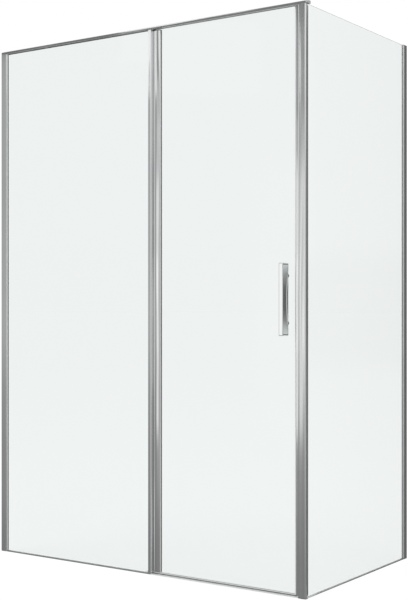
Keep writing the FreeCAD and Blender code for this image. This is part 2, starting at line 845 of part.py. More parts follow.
def post_ends():
    outline = [("0", "0"), ("post_width", "0"), ("post_width", "pocket_mouth"), ("0", "pocket_mouth")]
    sole = extrusion("sole", "XY_Plane", [outline], "foot_thickness", ("post_left", "0", "0"))
    round_upright_edges(sole, "post_round", [("post_width", "0")])
    plug = post_plug("foot_plug", "foot_thickness / 2", "plug_height / 2")
    tail = box(
        "sole_tail",
        ("post_left", "pocket_mouth / 2", "0"),
        ("pocket_inner", "rail_depth", "foot_thickness"),
    )
    finished("post_foot", fuse("foot", sole, tail, plug))
    section = [
        ("post_left", "rail_skin + block_play"),
        ("post_right", "rail_skin + block_play"),
        ("post_right", "pocket_mouth"),
        ("flange_inner", "pocket_mouth"),
        ("flange_inner", "pocket_floor"),
        ("pocket_inner", "pocket_floor"),
        ("pocket_inner", "rail_depth"),
        ("post_left", "rail_depth"),
    ]
    plate = extrusion(
        "connector_plate", "XY_Plane", [section], "rail_under - profile_top", ("0", "0", "profile_top")
    )
    right = "post_right - cap_plug - end_gap"
    neck = box(
        "connector_neck",
        ("connector_left", "slot_front + block_play", "rail_under - block_play"),
        (right, "slot_back - block_play", "block_foot + block_play"),
    )
    head = box(
        "connector_head",
        ("connector_left", "block_front", "block_foot"),
        (right, "block_back", "block_head"),
    )
    lower = post_plug("connector_plug", "profile_top - plug_height", "profile_top + block_play")
    bores = [
        rod("connector_bore", SCREW_BORE, "rail_screw_length", (across, "rail_depth", SCREW_ROW), "-y")
        for across in RAIL_SCREWS[2:]
    ]
    solid = fuse("connector", plate, neck, head, lower)
    finished("corner_connector", cut("connector_with_bores", solid, bores))


def post_magnet():
    """The closing profile: a magnet pocket, a web and a flange that covers the gap from the front."""
    half = "post_strip_width / 2"
    front = "cover_front - door_centre"
    web = "post_strip_reach - cover_wall"
    corner = "post_strip_reach - cover_reach"
    outline = [
        ("0", f"-({half})"),
        (web, f"-({half})"),
        (web, f"{front} + cover_wall"),
        (corner, f"{front} + cover_wall"),
        (corner, front),
        ("post_strip_reach", front),
        ("post_strip_reach", half),
        ("0", half),
    ]
    foot = "seal_top + stack_gap"
    strip = extrusion(
        "post_strip",
        "XY_Plane",
        [outline, magnet_outline("magnet_cover")],
        f"profile_top - ({foot})",
        ("post_strip_left", "door_centre", foot),
    )
    round_upright_edges(strip, "cover_round", [(corner, front)])
    finished("post_magnet_holder", strip)
    finished("post_magnet", magnet_bar("post_bar", "post_strip_left + magnet_cover", foot))


def magnet_outline(start):
    half = "magnet_width / 2"
    end = f"{start} + magnet_depth"
    return [(start, f"-({half})"), (end, f"-({half})"), (end, half), (start, half)]


def magnet_bar(label, left, foot):
    return box(
        label,
        (left, "door_centre - magnet_width / 2", foot),
        (f"{left} + magnet_depth", "door_centre + magnet_width / 2", "profile_top"),
    )


# ---------------------------------------------------------------- side panel


def side_panel():
    wall_fitting("side", sideways, ("side_centre", "overall_depth"), "side_top")
    left = "side_centre - half_glass"
    right = "side_centre + half_glass"
    finished(
        "side_glass",
        box("side_pane", (left, "side_glass_front", "pane_foot"), (right, "side_glass_back", "side_top")),
    )
    start = "side_profile_front + gasket_bite"
    gasket_pair(
        "side_wall_gaskets",
        ((sideways, right, start), (sideways_mirrored, left, start)),
        "sill_height + stack_gap",
        "side_top",
    )
    foot = "sill_height + stack_gap"
    strips = [
        box("post_gasket", (near, "pocket_floor", foot), (far, back, "profile_top"))
        for near, far, back in (
            (right, "flange_inner", "pocket_mouth"),
            ("pocket_inner", left, "rail_depth"),
        )
    ]
    finished("side_post_gaskets", group("post_gaskets", strips))
    near = "pocket_mouth + end_gap"
    far = "side_profile_front - slip_gap"
    outline = sill_outline("sill_half", "sill_base", "sill_height", "sill_leg")
    sill = extrusion("side_sill", "XZ_Plane", [outline], f"{far} - ({near})", ("side_centre", far, "0"))
    finished("side_bottom_profile", sill)
    blocks = [
        box(
            "side_block",
            (left, start, "sill_base"),
            (right, f"{start} + block_length", "pane_foot"),
        )
        for start in ("block_inset", "side_profile_front - block_inset - block_length")
    ]
    finished("side_setting_blocks", group("side_blocks", blocks))
    cap = box(
        "side_cap",
        ("side_centre - channel_half", "side_profile_front", "side_top"),
        ("side_centre + channel_half", "overall_depth", "side_top + side_cap_thickness"),
    )
    finished("side_channel_cap", cap)


# ---------------------------------------------------------------- threshold and guide


def threshold():
    back = "threshold_front + threshold_depth"
    outline = [
        ("threshold_front", "0"),
        (back, "0"),
        (back, "dam_height"),
        (f"{back} - dam_width", "dam_height"),
        (f"{back} - dam_width", "threshold_base"),
        ("threshold_front + threshold_base", "threshold_base"),
        ("threshold_front", "threshold_nose"),
    ]
    left = "fixed_panel_width + end_gap"
    length = f"post_left - end_gap - ({left})"
    finished("threshold", extrusion("sill_bar", "YZ_Plane", [outline], length, (left, "0", "0")))


def bottom_guide():
    slot = "seal_half + guide_gap"
    outer = f"{slot} + guide_cheek"
    tab = f"{outer} + guide_tab"
    outline = [
        (f"-({outer})", "0"),
        (tab, "0"),
        (tab, "guide_tab_thickness"),
        (outer, "guide_tab_thickness"),
        (outer, "guide_height"),
        (slot, "guide_height"),
        (slot, "guide_base"),
        (f"-({slot})", "guide_base"),
        (f"-({slot})", "guide_height"),
        (f"-({outer})", "guide_height"),
    ]
    left = "fixed_panel_width - guide_back - guide_length"
    body = extrusion("guide", "YZ_Plane", [outline], "guide_length", (left, "door_centre", "0"))
    middle = (f"{left} + guide_length / 2", f"door_centre + {outer} + guide_tab / 2", "0")
    hole = rod("guide_hole", "guide_hole_radius", "guide_tab_thickness", middle, "z")
    finished("bottom_guide", cut("guide_with_hole", body, [hole]))


# ---------------------------------------------------------------- door

GRIP_SCREWS = ("grip_level - grip_screw_spacing / 2", "grip_level + grip_screw_spacing / 2")


def door_panel():
    pane = box(
        "door_pane",
        ("door_glass_left", "door_front", "door_glass_foot"),
        ("door_glass_right", "door_back", "door_glass_top"),
    )
    hole = "sleeve_radius + sleeve_play"
    holes = [
        rod("glass_hole", hole, "glass_thickness", ("grip_middle", "door_front", level), "y")
        for level in GRIP_SCREWS
    ]
    finished("door_glass", cut("door_pane_with_holes", pane, holes))
    outline = [
        ("0", "-(door_profile_half)", "door_profile_bulge"),
        ("door_profile_width", "-(door_profile_half)"),
        ("door_profile_width", "-(pocket_half)"),
        ("door_chamber", "-(pocket_half)"),
        ("door_chamber", "pocket_half"),
        ("door_profile_width", "pocket_half"),
        ("door_profile_width", "door_profile_half"),
        ("0", "door_profile_half"),
    ]
    inner = "door_profile_half - door_profile_wall"
    chamber = [
        ("door_profile_wall", f"-({inner})"),
        ("door_chamber - door_profile_wall", f"-({inner})"),
        ("door_chamber - door_profile_wall", inner),
        ("door_profile_wall", inner),
    ]
    foot = "door_profile_foot + door_cap_thickness"
    profile = extrusion(
        "door_edge",
        "XY_Plane",
        [outline, chamber],
        f"door_profile_head - ({foot})",
        ("door_left", "door_centre", foot),
    )
    corners = [("0", "-(door_profile_half)"), ("door_profile_width", "-(door_profile_half)")]
    round_upright_edges(profile, "door_profile_round", corners)
    finished("door_edge_profile", profile)
    right = "door_left + door_chamber"
    caps = [
        box(
            "door_cap",
            ("door_left", "door_centre - door_profile_half", level),
            (right, "door_centre + door_profile_half", f"{level} + door_cap_thickness"),
        )
        for level in ("door_profile_foot", "door_profile_head")
    ]
    finished("door_profile_caps", group("door_caps", caps))
    start = "door_profile_right - gasket_bite"
    gasket_pair(
        "door_glass_gaskets",
        ((ahead_mirrored, start, "door_front"), (ahead, start, "door_back")),
        foot,
        "door_profile_head",
    )


def door_seals():
    floor, head = "door_glass_foot - seal_foot", "seal_top - seal_foot"
    outline = sill_outline("seal_half", floor, head, "seal_side")
    start = ("door_left", "door_centre", "seal_foot")
    seal = extrusion("lower_seal", "YZ_Plane", [outline], "door_glass_right - door_left", start)
    finished("door_bottom_seal", seal)
    side = "half_glass + door_strip_side"
    clip = [
        ("-door_strip_leg", f"-({side})"),
        ("door_strip_reach", f"-({side})"),
        ("door_strip_reach", side),
        ("-door_strip_leg", side),
        ("-door_strip_leg", "half_glass"),
        ("0", "half_glass"),
        ("0", "-(half_glass)"),
        ("-door_strip_leg", "-(half_glass)"),
    ]
    inset = "door_strip_reach - magnet_cover - magnet_depth"
    foot = "seal_top + stack_gap"
    strip = extrusion(
        "door_strip",
        "XY_Plane",
        [clip, magnet_outline(inset)],
        f"profile_top - ({foot})",
        ("door_glass_right", "door_centre", foot),
    )
    finished("door_magnet_seal", strip)
    finished("door_magnet", magnet_bar("door_bar", f"door_glass_right + {inset}", foot))


def handle():
    block = box(
        "grip_block",
        ("grip_left", "grip_front", "grip_level - grip_height / 2"),
        ("grip_right", "grip_back", "grip_level + grip_height / 2"),
    )
    tools = scoop("grip_left", "grip_left + scoop_depth - scoop_radius")
    tools += scoop("grip_right", "grip_right - scoop_depth + scoop_radius")
    bore = "grip_screw_radius + screw_fit"
    tools += [
        rod("grip_bore", bore, "grip_screw_bite", ("grip_middle", "grip_back", level), "-y")
        for level in GRIP_SCREWS
    ]
    finished("handle_grip", cut("grip", block, tools))
    seat = "door_back + sleeve_flange"
    length = "grip_screw_bite + glass_thickness + 2 * sleeve_flange - screw_tip_gap"
    screws = []
    sleeves = []
    for index, level in enumerate(GRIP_SCREWS, start=1):
        head = ("grip_head_radius", "grip_head_height")
        at = ("grip_middle", seat, level)
        screws.append(pan_screw(f"grip_screw_{index}", length, at, "-y", "grip_screw_radius", head))
        front = ("grip_middle", "grip_back", level)
        back = ("grip_middle", "door_back", level)
        tube = rod("sleeve_tube", "sleeve_radius", "glass_thickness + 2 * sleeve_flange", front, "y")
        near = rod("near_flange", "sleeve_flange_radius", "sleeve_flange", front, "y")
        far = rod("far_flange", "sleeve_flange_radius", "sleeve_flange", back, "y")
        bore = rod("sleeve_bore", "sleeve_bore", "glass_thickness + 2 * sleeve_flange", front, "y")
        sleeves.append(cut(f"sleeve_{index}", fuse("sleeve_body", tube, near, far), [bore]))
    finished("handle_screws", group("grip_screws", screws))
    finished("handle_sleeves", group("sleeves", sleeves))


def scoop(face, axis):
    """What a finger scoop takes out of one face: a flat floor between two curved ends."""
    near = "grip_front + scoop_border"
    width = "grip_reach - 2 * scoop_border"
    floor = box(
        "scoop_floor",
        (f"{face} - scoop_depth", near, "grip_level - scoop_half"),
        (f"{face} + scoop_depth", f"{near} + {width}", "grip_level + scoop_half"),
    )
    ends = [
        rod("scoop_curve", "scoop_radius", width, (axis, near, level), "y")
        for level in ("grip_level - scoop_half", "grip_level + scoop_half")
    ]
    return [floor, *ends]


# ---------------------------------------------------------------- running gear


def running_gear():
    height = "clamp_top - clamp_foot"
    outline = [
        ("0", "0"),
        ("clamp_wall", "0"),
        ("clamp_wall", f"{height} - clamp_wall"),
        ("clamp_width - clamp_wall", f"{height} - clamp_wall"),
        ("clamp_width - clamp_wall", "0"),
        ("clamp_width", "0"),
        ("clamp_width", height),
        ("0", height),
    ]
    length = "door_glass_right - door_left"
    clamp = extrusion("clamp", "YZ_Plane", [outline], length, ("door_left", "clamp_front", "clamp_foot"))
    axle_places = []
    for side, start in (("left", "left_carriage"), ("right", "right_carriage")):
        block = box(
            f"{side}_carriage_block",
            (start, "door_front", "door_glass_top"),
            (f"{start} + carriage_length", "door_back", "clamp_top - clamp_wall"),
        )
        spots = (f"{start} + axle_inset", f"{start} + carriage_length - axle_inset")
        bore = "axle_radius + bearing_fit"
        bores = [
            rod("bearing", bore, "glass_thickness", (spot, "door_front", "axle_level"), "y")
            for spot in spots
        ]
        finished(f"{side}_roller_carriage", cut(f"{side}_carriage", block, bores))
        axle_places += spots
    hole = "axle_radius + clamp_hole_play"
    holes = [
        rod("clamp_hole", hole, "clamp_width", (spot, "clamp_front", "axle_level"), "y")
        for spot in axle_places
    ]
    finished("door_top_clamp", cut("clamp_with_holes", clamp, holes))
    for index, spot in enumerate(axle_places, start=1):
        front = "cavity_front + wheel_gap"
        back = "cavity_back - wheel_gap - wheel_width"
        axle_length = "cavity_back - cavity_front - 2 * wheel_gap"
        at = (spot, front, "axle_level")
        finished(f"roller_axle_{index}", rod(f"axle_{index}", "axle_radius", axle_length, at, "y"))
        wheels = []
        for start in (front, back):
            side = (spot, start, "axle_level")
            disc = rod("wheel_disc", "wheel_radius", "wheel_width", side, "y")
            bore = rod("wheel_bore", "axle_radius + axle_fit", "wheel_width", side, "y")
            wheels.append(cut("wheel", disc, [bore]))
        finished(f"roller_wheels_{index}", group(f"wheel_pair_{index}", wheels))


# ---------------------------------------------------------------- build and export


def build():
    fixed_panel()
    fixed_sill()
    head_rail()
    rail_ends()
    rail_stops()
    corner_post()
    post_ends()
    post_magnet()
    side_panel()
    threshold()
    bottom_guide()
    door_panel()
    door_seals()
    handle()
    running_gear()
    doc.recompute()


def check():
    """Stop if any object failed or any piece is not a sound solid."""
    for thing in doc.Objects:
        if {"Invalid", "Error"} & set(thing.State):
            raise ValueError(f"{thing.Label} is {thing.State}")
    for label, thing in pieces:
        shape = thing.Shape
        if shape.isNull() or not shape.isValid() or not shape.Solids:
            raise ValueError(f"{label} has no sound shape")


def export():
    os.makedirs("parts", exist_ok=True)
    for label, thing in pieces:
        thing.Shape.exportStep(os.path.join("parts", label + ".step"))


build()
check()
export()
whole = FreeCAD.BoundBox()
for label, thing in pieces:
    whole.add(thing.Shape.BoundBox)
print(len(pieces), "pieces,", round(whole.XLength, 2), round(whole.YLength, 2), round(whole.ZLength, 2))
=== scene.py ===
import json
import math

import bmesh
import bpy
import numpy as np
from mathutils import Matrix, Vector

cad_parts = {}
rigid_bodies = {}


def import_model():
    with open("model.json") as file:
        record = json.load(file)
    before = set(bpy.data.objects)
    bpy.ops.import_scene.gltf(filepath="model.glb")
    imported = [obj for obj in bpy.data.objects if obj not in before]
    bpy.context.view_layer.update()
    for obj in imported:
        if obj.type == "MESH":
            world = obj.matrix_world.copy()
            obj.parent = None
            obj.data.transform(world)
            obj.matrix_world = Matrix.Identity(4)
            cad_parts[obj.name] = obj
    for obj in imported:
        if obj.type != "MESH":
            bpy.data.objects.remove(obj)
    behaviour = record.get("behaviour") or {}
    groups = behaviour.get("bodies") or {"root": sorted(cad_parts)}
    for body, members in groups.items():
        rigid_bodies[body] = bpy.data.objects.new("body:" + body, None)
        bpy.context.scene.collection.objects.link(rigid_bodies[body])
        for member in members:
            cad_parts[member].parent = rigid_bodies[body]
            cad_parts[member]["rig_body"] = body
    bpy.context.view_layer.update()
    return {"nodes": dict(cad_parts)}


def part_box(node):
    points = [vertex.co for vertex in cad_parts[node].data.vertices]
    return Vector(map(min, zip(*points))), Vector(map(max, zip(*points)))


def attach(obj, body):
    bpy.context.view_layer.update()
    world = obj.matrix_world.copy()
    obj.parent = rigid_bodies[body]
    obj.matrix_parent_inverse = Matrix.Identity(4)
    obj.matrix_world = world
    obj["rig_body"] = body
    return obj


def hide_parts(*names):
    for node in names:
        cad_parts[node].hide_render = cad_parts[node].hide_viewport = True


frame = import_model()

# Corner shower enclosure with a sliding door: glass panes, bright profiles, seals, grip and running gear.
# Lengths are in metres; a value written with mm is a number of millimetres.
mm = 0.001
nodes = frame["nodes"]
scene = bpy.context.scene


# Node helpers. An input may be a plain value or the output socket of another node.
def addNode(tree, kind, inputs=None, **settings):
    made = tree.nodes.new("ShaderNode" + kind)
    for key, setting in settings.items():
        setattr(made, key, setting)
    for key, source in (inputs or {}).items():
        if isinstance(source, bpy.types.NodeSocket):
            tree.links.new(source, made.inputs[key])
        else:
            made.inputs[key].default_value = source
    return made


def calc(tree, operation, first, second=0.0):
    return addNode(tree, "Math", {0: first, 1: second}, operation=operation).outputs[0]


def spread(tree, source, low, high, fromLow=0.3, fromHigh=0.7):
    inputs = {"Value": source, "From Min": fromLow, "From Max": fromHigh, "To Min": low, "To Max": high}
    return addNode(tree, "MapRange", inputs).outputs["Result"]


def window(tree, source, low, high, soft):
    # 1 from low to high, falling to 0 over the soft border on each side
    rising = spread(tree, source, 0.0, 1.0, low - soft, low)
    falling = spread(tree, source, 1.0, 0.0, high, high + soft)
    return calc(tree, "MULTIPLY", rising, falling)


def fillRamp(ramp, stops):
    # stops are (position, (r, g, b)); the ramp's own two stops are reused for the first and last
    elements = ramp.color_ramp.elements
    for index, (position, colour) in enumerate(stops):
        if index == 0:
            element = elements[0]
        elif index == len(stops) - 1:
            element = elements[-1]
        else:
            element = elements.new(position)
        element.position = position
        element.color = (*colour, 1.0)


# The studio: white room, pale floor, two soft lamps and the camera
studio = {
    "white": 1.0,          # background seen directly and through the glass
    "room": 0.68,          # even light on matt surfaces
    "keyPower": 120.0,     # soft lamp, front left and high
    "keyPlace": (-2.6, -4.6, 4.6),
    "fillPower": 60.0,     # soft lamp, right and high
    "fillPlace": (4.5, -1.5, 4.0),
    "lampSize": 4.0,
    "lampAim": (0.0, 0.0, 1.0),
    "floorGlow": 0.913,    # part of the floor's white that takes no shadow
    "floorShade": 0.13,    # part that does
    "floorTone": 0.72,     # floor as it lights the object from below
    "floorHalf": 400.0,    # half its width, so that it meets the horizon
    "floorLevel": -0.0003,  # just under the object
    "throughPane": 0.62,   # least brightness of what metal mirrors through a pane
    "paneFrom": 1.6,       # degrees off the horizon at which that begins
    "paneFull": 3.4,       # and is full
}

# What metal and glass mirror. Azimuths are in degrees from the front (-Y) towards the left (-X), and each
# stop shares the sky between three columns: the bright right side, a grey wall and a dark wall.
mirrorAround = (
    (-180, (0.6, 0.0, 0.4)), (-168, (0, 0, 1)), (-122, (0, 0, 1)), (-104, (0.8, 0, 0.2)),
    (-70, (0.8, 0.2, 0)), (-40, (1, 0, 0)), (27, (1, 0, 0)), (32, (0, 1, 0)), (60, (0, 1, 0)),
    (74, (0.9, 0.1, 0)), (104, (0.9, 0.1, 0)), (120, (0, 1, 0)), (160, (0, 0.5, 0.5)),
    (180, (0.6, 0.0, 0.4)),
)
# Brightness of the three columns by elevation in degrees.
mirrorUp = (
    (-90, (0.5, 0.4, 0.8)), (-24, (0.3, 0.25, 0.75)), (-16, (0.23, 0.20, 0.64)),
    (-13.4, (0.24, 0.205, 0.14)), (-11, (0.27, 0.215, 0.135)), (-9, (0.34, 0.26, 0.135)),
    (-6.5, (0.42, 0.27, 0.135)), (-4, (0.45, 0.31, 0.135)), (-1, (0.50, 0.42, 0.135)),
    (6, (0.54, 0.39, 0.135)), (10.5, (0.70, 0.40, 0.14)), (13.6, (0.8, 0.38, 0.14)),
    (16.2, (0.8, 0.38, 0.64)), (26, (0.8, 0.6, 0.72)), (90, (0.95, 0.95, 0.95)),
)
# Soft cards laid over them: azimuth from and to, elevation from and to, soft border, brightness.
mirrorCards = (
    (27.5, 31.6, 9.5, 20.0, 0.5, 0.31),            # grey top of the post
    (28.7, 31.6, -5.5, 6.5, 1.3, 0.80),            # streaks of the post and the door's profile
    (30.2, 31.6, -1.7, 2.4, 0.5, 1.0),             # grip's front
    (-41.0, -33.0, -12.0, 11.0, 2.0, 0.80),        # light between the two middle profiles
    (14.0, 22.0, -2.5, 20.0, 2.0, 1.0),            # rounded right edges of the profiles
    (14.0, 22.0, -12.0, -4.0, 2.0, 0.5),
    (7.5, 12.0, -3.0, 11.2, 1.5, 0.41),
    (32.0, 37.0, 10.6, 13.8, 0.4, 1.0),            # white tops of the middle profiles
    (36.5, 38.8, 12.1, 13.7, 0.3, 1.0),
    (-30.0, 25.0, 12.1, 13.6, 2.0, 0.95),
    (54.0, 68.0, 2.0, 24.0, 3.0, 0.97),            # rounded left edges
    (54.0, 68.0, -4.0, 1.0, 3.0, 0.62),
    (27.0, 38.8, 14.0, 20.0, 0.15, 0.20),          # dark fascia
    (38.8, 48.0, 12.4, 20.0, 0.3, 0.17),
    (120.0, 180.0, 5.0, 24.0, 3.0, 0.95),          # the side panel and what lies behind it
    (-180.0, -177.0, -12.0, 24.0, 3.0, 0.95),
    (-149.75, -147.0, 2.1, 24.0, 0.9, 0.36),       # ends of the grip's scoop, first dim, then bright
    (-149.75, -147.0, 3.0, 24.0, 1.1, 1.0),
    (-149.75, -147.0, -24.0, -0.9, 0.8, 0.36),
    (-149.75, -147.0, -24.0, -1.9, 0.9, 1.0),
)


def raySorts(tree):
    # plain is 1 for what is seen directly or through glass, and 0 once a surface has mirrored the ray
    rays = addNode(tree, "LightPath").outputs
    direct = calc(tree, "LESS_THAN", rays["Glossy Depth"], 0.5)
    through = calc(tree, "MULTIPLY", rays["Is Transmission Ray"], direct)
    return rays, calc(tree, "MAXIMUM", rays["Is Camera Ray"], through)


def buildWorld():
    world = bpy.data.worlds.new("studioRoom")
    scene.world = world
    world.use_nodes = True
    tree = world.node_tree
    tree.nodes.clear()
    # azimuth and elevation of the ray, each as a number from 0 to 1
    direction = addNode(tree, "TexCoord").outputs["Generated"]
    parts = addNode(tree, "SeparateXYZ", {0: direction})
    leftward = calc(tree, "MULTIPLY", parts.outputs["X"], -1.0)
    forward = calc(tree, "MULTIPLY", parts.outputs["Y"], -1.0)
    around = calc(tree, "ARCTAN2", leftward, forward)
    around = calc(tree, "MULTIPLY_ADD", around, 0.5 / math.pi)
    around.node.inputs[2].default_value = 0.5
    rise = calc(tree, "ARCSINE", parts.outputs["Z"])
    rise = calc(tree, "MULTIPLY_ADD", rise, 1.0 / math.pi)
    rise.node.inputs[2].default_value = 0.5
    share = addNode(tree, "ValToRGB", {0: around})
    fillRamp(share, [(azimuth / 360 + 0.5, colour) for azimuth, colour in mirrorAround])
    level = addNode(tree, "ValToRGB", {0: rise})
    fillRamp(level, [(elevation / 180 + 0.5, colour) for elevation, colour in mirrorUp])
    inputs = {0: share.outputs["Color"], 1: level.outputs["Color"]}
    pattern = addNode(tree, "VectorMath", inputs, operation="DOT_PRODUCT").outputs["Value"]
    for left, right, low, high, soft, brightness in mirrorCards:
        across = window(tree, around, left / 360 + 0.5, right / 360 + 0.5, soft / 360)
        upright = window(tree, rise, low / 180 + 0.5, high / 180 + 0.5, soft / 180)
        card = calc(tree, "MULTIPLY", across, upright)
        pattern = addNode(tree, "Mix", {0: card, 2: pattern, 3: brightness}).outputs[0]
    # what a surface mirrors through a pane brightens above and below the horizon
    rays, plain = raySorts(tree)
    tilt = calc(tree, "ABSOLUTE", calc(tree, "SUBTRACT", rise, 0.5))
    begin, full = studio["paneFrom"] / 180, studio["paneFull"] / 180
    glow = spread(tree, tilt, 0.0, studio["throughPane"], begin, full)
    glow = calc(tree, "MULTIPLY", glow, rays["Is Transmission Ray"])
    pattern = calc(tree, "MAXIMUM", pattern, glow)
    mirrored = addNode(tree, "Mix", {0: rays["Is Glossy Ray"], 2: studio["room"], 3: pattern}).outputs[0]
    strength = addNode(tree, "Mix", {0: plain, 2: mirrored, 3: studio["white"]}).outputs[0]
    background = addNode(tree, "Background", {"Color": (1, 1, 1, 1), "Strength": strength})
    output = addNode(tree, "OutputWorld", {"Surface": background.outputs[0]})
    output.is_active_output = True


def buildFloor():
    # a broad flat sheet; its white is mostly glow, so the shadow stays faint
    half, level = studio["floorHalf"], studio["floorLevel"]
    mesh = bpy.data.meshes.new("floor")
    corners = [(-half, -half, level), (half, -half, level), (half, half, level), (-half, half, level)]
    mesh.from_pydata(corners, [], [(0, 1, 2, 3)])
    floor = bpy.data.objects.new("floor", mesh)
    scene.collection.objects.link(floor)
    material = bpy.data.materials.new("paleFloor")
    material.use_nodes = True
    tree = material.node_tree
    tree.nodes.clear()
    place = addNode(tree, "TexCoord").outputs["Object"]
    mottle = addNode(tree, "TexNoise", {"Vector": place, "Scale": 3.0, "Detail": 4.0}).outputs["Fac"]
    tone = spread(tree, mottle, studio["floorTone"] - 0.01, studio["floorTone"] + 0.01)
    matt = addNode(tree, "BsdfDiffuse", {"Color": tone})
    shade = studio["floorShade"]
    shaded = addNode(tree, "BsdfDiffuse", {"Color": (shade, shade, shade, 1)})
    glow = addNode(tree, "Emission", {"Color": (1, 1, 1, 1), "Strength": studio["floorGlow"]})
    white = addNode(tree, "AddShader", {0: shaded.outputs[0], 1: glow.outputs[0]})
    rays, plain = raySorts(tree)
    mixed = addNode(tree, "MixShader", {0: plain, 1: matt.outputs[0], 2: white.outputs[0]})
    mirrored = calc(tree, "GREATER_THAN", rays["Glossy Depth"], 0.5)
    through = addNode(tree, "BsdfTransparent")
    mixed = addNode(tree, "MixShader", {0: mirrored, 1: mixed.outputs[0], 2: through.outputs[0]})
    addNode(tree, "OutputMaterial", {"Surface": mixed.outputs[0]})
    mesh.materials.append(material)
    floor.visible_glossy = False      # metal mirrors the studio column below the horizon instead


def addLamp(name, power, place):
    lamp = bpy.data.lights.new(name, "AREA")
    lamp.energy = power
    lamp.shape = "SQUARE"
    lamp.size = studio["lampSize"]
    holder = bpy.data.objects.new(name, lamp)
    scene.collection.objects.link(holder)
    holder.location = place
    aim = np.array(studio["lampAim"]) - np.array(place)
    flat = math.hypot(aim[0], aim[1])
    holder.rotation_euler = (math.atan2(flat, -aim[2]), 0.0, math.atan2(aim[0], -aim[1]) + math.pi)
    holder.visible_glossy = False
    holder.visible_transmission = False


def buildCamera():
    view = {
        "place": (2.63081, -3.78113, 0.96292),
        "turn": 34.647,        # degrees to the left of straight ahead
        "lens": 70.148,
        "rise": 0.01736,
    }
    data = bpy.data.cameras.new("camera")
    data.lens = view["lens"]
    data.sensor_width = 36.0
    data.shift_y = view["rise"]
    data.clip_end = 1000.0
    camera = bpy.data.objects.new("camera", data)
    scene.collection.objects.link(camera)
    camera.location = view["place"]
    camera.rotation_euler = (math.pi / 2, 0.0, math.radians(view["turn"]))
    scene.camera = camera


scene.view_settings.view_transform = "Standard"
buildWorld()
buildFloor()
addLamp("keyLamp", studio["keyPower"], studio["keyPlace"])
addLamp("fillLamp", studio["fillPower"], studio["fillPlace"])
buildCamera()
print("studio ready")


# Each finish: base colour, metallic share, roughness from smooth to worn, depth and pitch of the drawn
# grain, and depth and pitch of the slow waves that a long extrusion or a moulding keeps.
finishes = {
    "bright": {
        "colour": (0.86, 0.868, 0.872), "metallic": 1.0, "rough": (0.035, 0.075), "shade": 0.03,
        "grainPitch": 0.6, "grainDepth": 0.0006, "stretch": 0.01, "wavePitch": 13.0, "waveDepth": 0.3,
    },
    "broadBright": {
        "colour": (0.86, 0.868, 0.872), "metallic": 1.0, "rough": (0.07, 0.12), "shade": 0.03,
        "grainPitch": 0.6, "grainDepth": 0.0006, "stretch": 0.01, "wavePitch": 26.0, "waveDepth": 1.0,
    },
    "satin": {
        "colour": (0.86, 0.865, 0.87), "metallic": 0.15, "rough": (0.32, 0.42), "shade": 0.03,
        "grainPitch": 0.5, "grainDepth": 0.002, "stretch": 0.02, "wavePitch": 12.0, "waveDepth": 0.05,
    },
    "chrome": {
        "colour": (0.90, 0.905, 0.91), "metallic": 1.0, "rough": (0.03, 0.06), "shade": 0.015,
        "grainPitch": 1.5, "grainDepth": 0.0002, "stretch": 0.2, "wavePitch": 30.0, "waveDepth": 0.01,
    },
    "steel": {
        "colour": (0.62, 0.63, 0.64), "metallic": 1.0, "rough": (0.25, 0.38), "shade": 0.05,
        "grainPitch": 0.25, "grainDepth": 0.001, "stretch": 0.2, "wavePitch": 6.0, "waveDepth": 0.002,
    },
    "steel_block": {
        "colour": (0.55, 0.56, 0.57), "metallic": 1.0, "rough": (0.32, 0.5), "shade": 0.06,
        "grainPitch": 0.5, "grainDepth": 0.003, "stretch": 1.0, "wavePitch": 9.0, "waveDepth": 0.004,
    },
    "bright_plastic": {
        "colour": (0.60, 0.61, 0.62), "metallic": 0.75, "rough": (0.16, 0.26), "shade": 0.03,
        "grainPitch": 0.5, "grainDepth": 0.002, "stretch": 1.0, "wavePitch": 9.0, "waveDepth": 0.006,
    },
    "grey_plastic": {
        "colour": (0.42, 0.43, 0.44), "metallic": 0.0, "rough": (0.34, 0.46), "shade": 0.05,
        "grainPitch": 0.4, "grainDepth": 0.004, "stretch": 1.0, "wavePitch": 8.0, "waveDepth": 0.006,
    },
    "dark_plastic": {
        "colour": (0.05, 0.05, 0.053), "metallic": 0.0, "rough": (0.42, 0.55), "shade": 0.15,
        "grainPitch": 0.4, "grainDepth": 0.006, "stretch": 1.0, "wavePitch": 8.0, "waveDepth": 0.008,
    },
    "wheel_plastic": {
        "colour": (0.78, 0.78, 0.75), "metallic": 0.0, "rough": (0.28, 0.4), "shade": 0.04,
        "grainPitch": 0.3, "grainDepth": 0.002, "stretch": 1.0, "wavePitch": 4.0, "waveDepth": 0.003,
    },
    "seal_rubber": {
        "colour": (0.13, 0.133, 0.135), "metallic": 0.0, "rough": (0.28, 0.42), "shade": 0.12,
        "grainPitch": 0.8, "grainDepth": 0.004, "stretch": 0.05, "wavePitch": 10.0, "waveDepth": 0.02,
    },
    "pile": {
        "colour": (0.20, 0.205, 0.21), "metallic": 0.0, "rough": (0.85, 0.95), "shade": 0.3,
        "grainPitch": 0.3, "grainDepth": 0.05, "stretch": 1.0, "wavePitch": 3.0, "waveDepth": 0.05,
    },
    "milkySeal": {
        "colour": (0.86, 0.87, 0.87), "metallic": 0.0, "rough": (0.3, 0.42), "shade": 0.03,
        "grainPitch": 0.6, "grainDepth": 0.001, "stretch": 0.05, "wavePitch": 9.0, "waveDepth": 0.01,
    },
    "magnet": {
        "colour": (0.70, 0.70, 0.69), "metallic": 0.0, "rough": (0.5, 0.65), "shade": 0.06,
        "grainPitch": 0.4, "grainDepth": 0.004, "stretch": 0.1, "wavePitch": 8.0, "waveDepth": 0.004,
    },
}
noise = {
    "drawnOut": 0.03,      # scale of the slow waves along an extrusion
    "cloud": 9.0,          # clouds per metre on metal and plastic
    "film": 14.0,          # and on clear pieces
    "lightest": 0.95,      # no base colour gets lighter
}
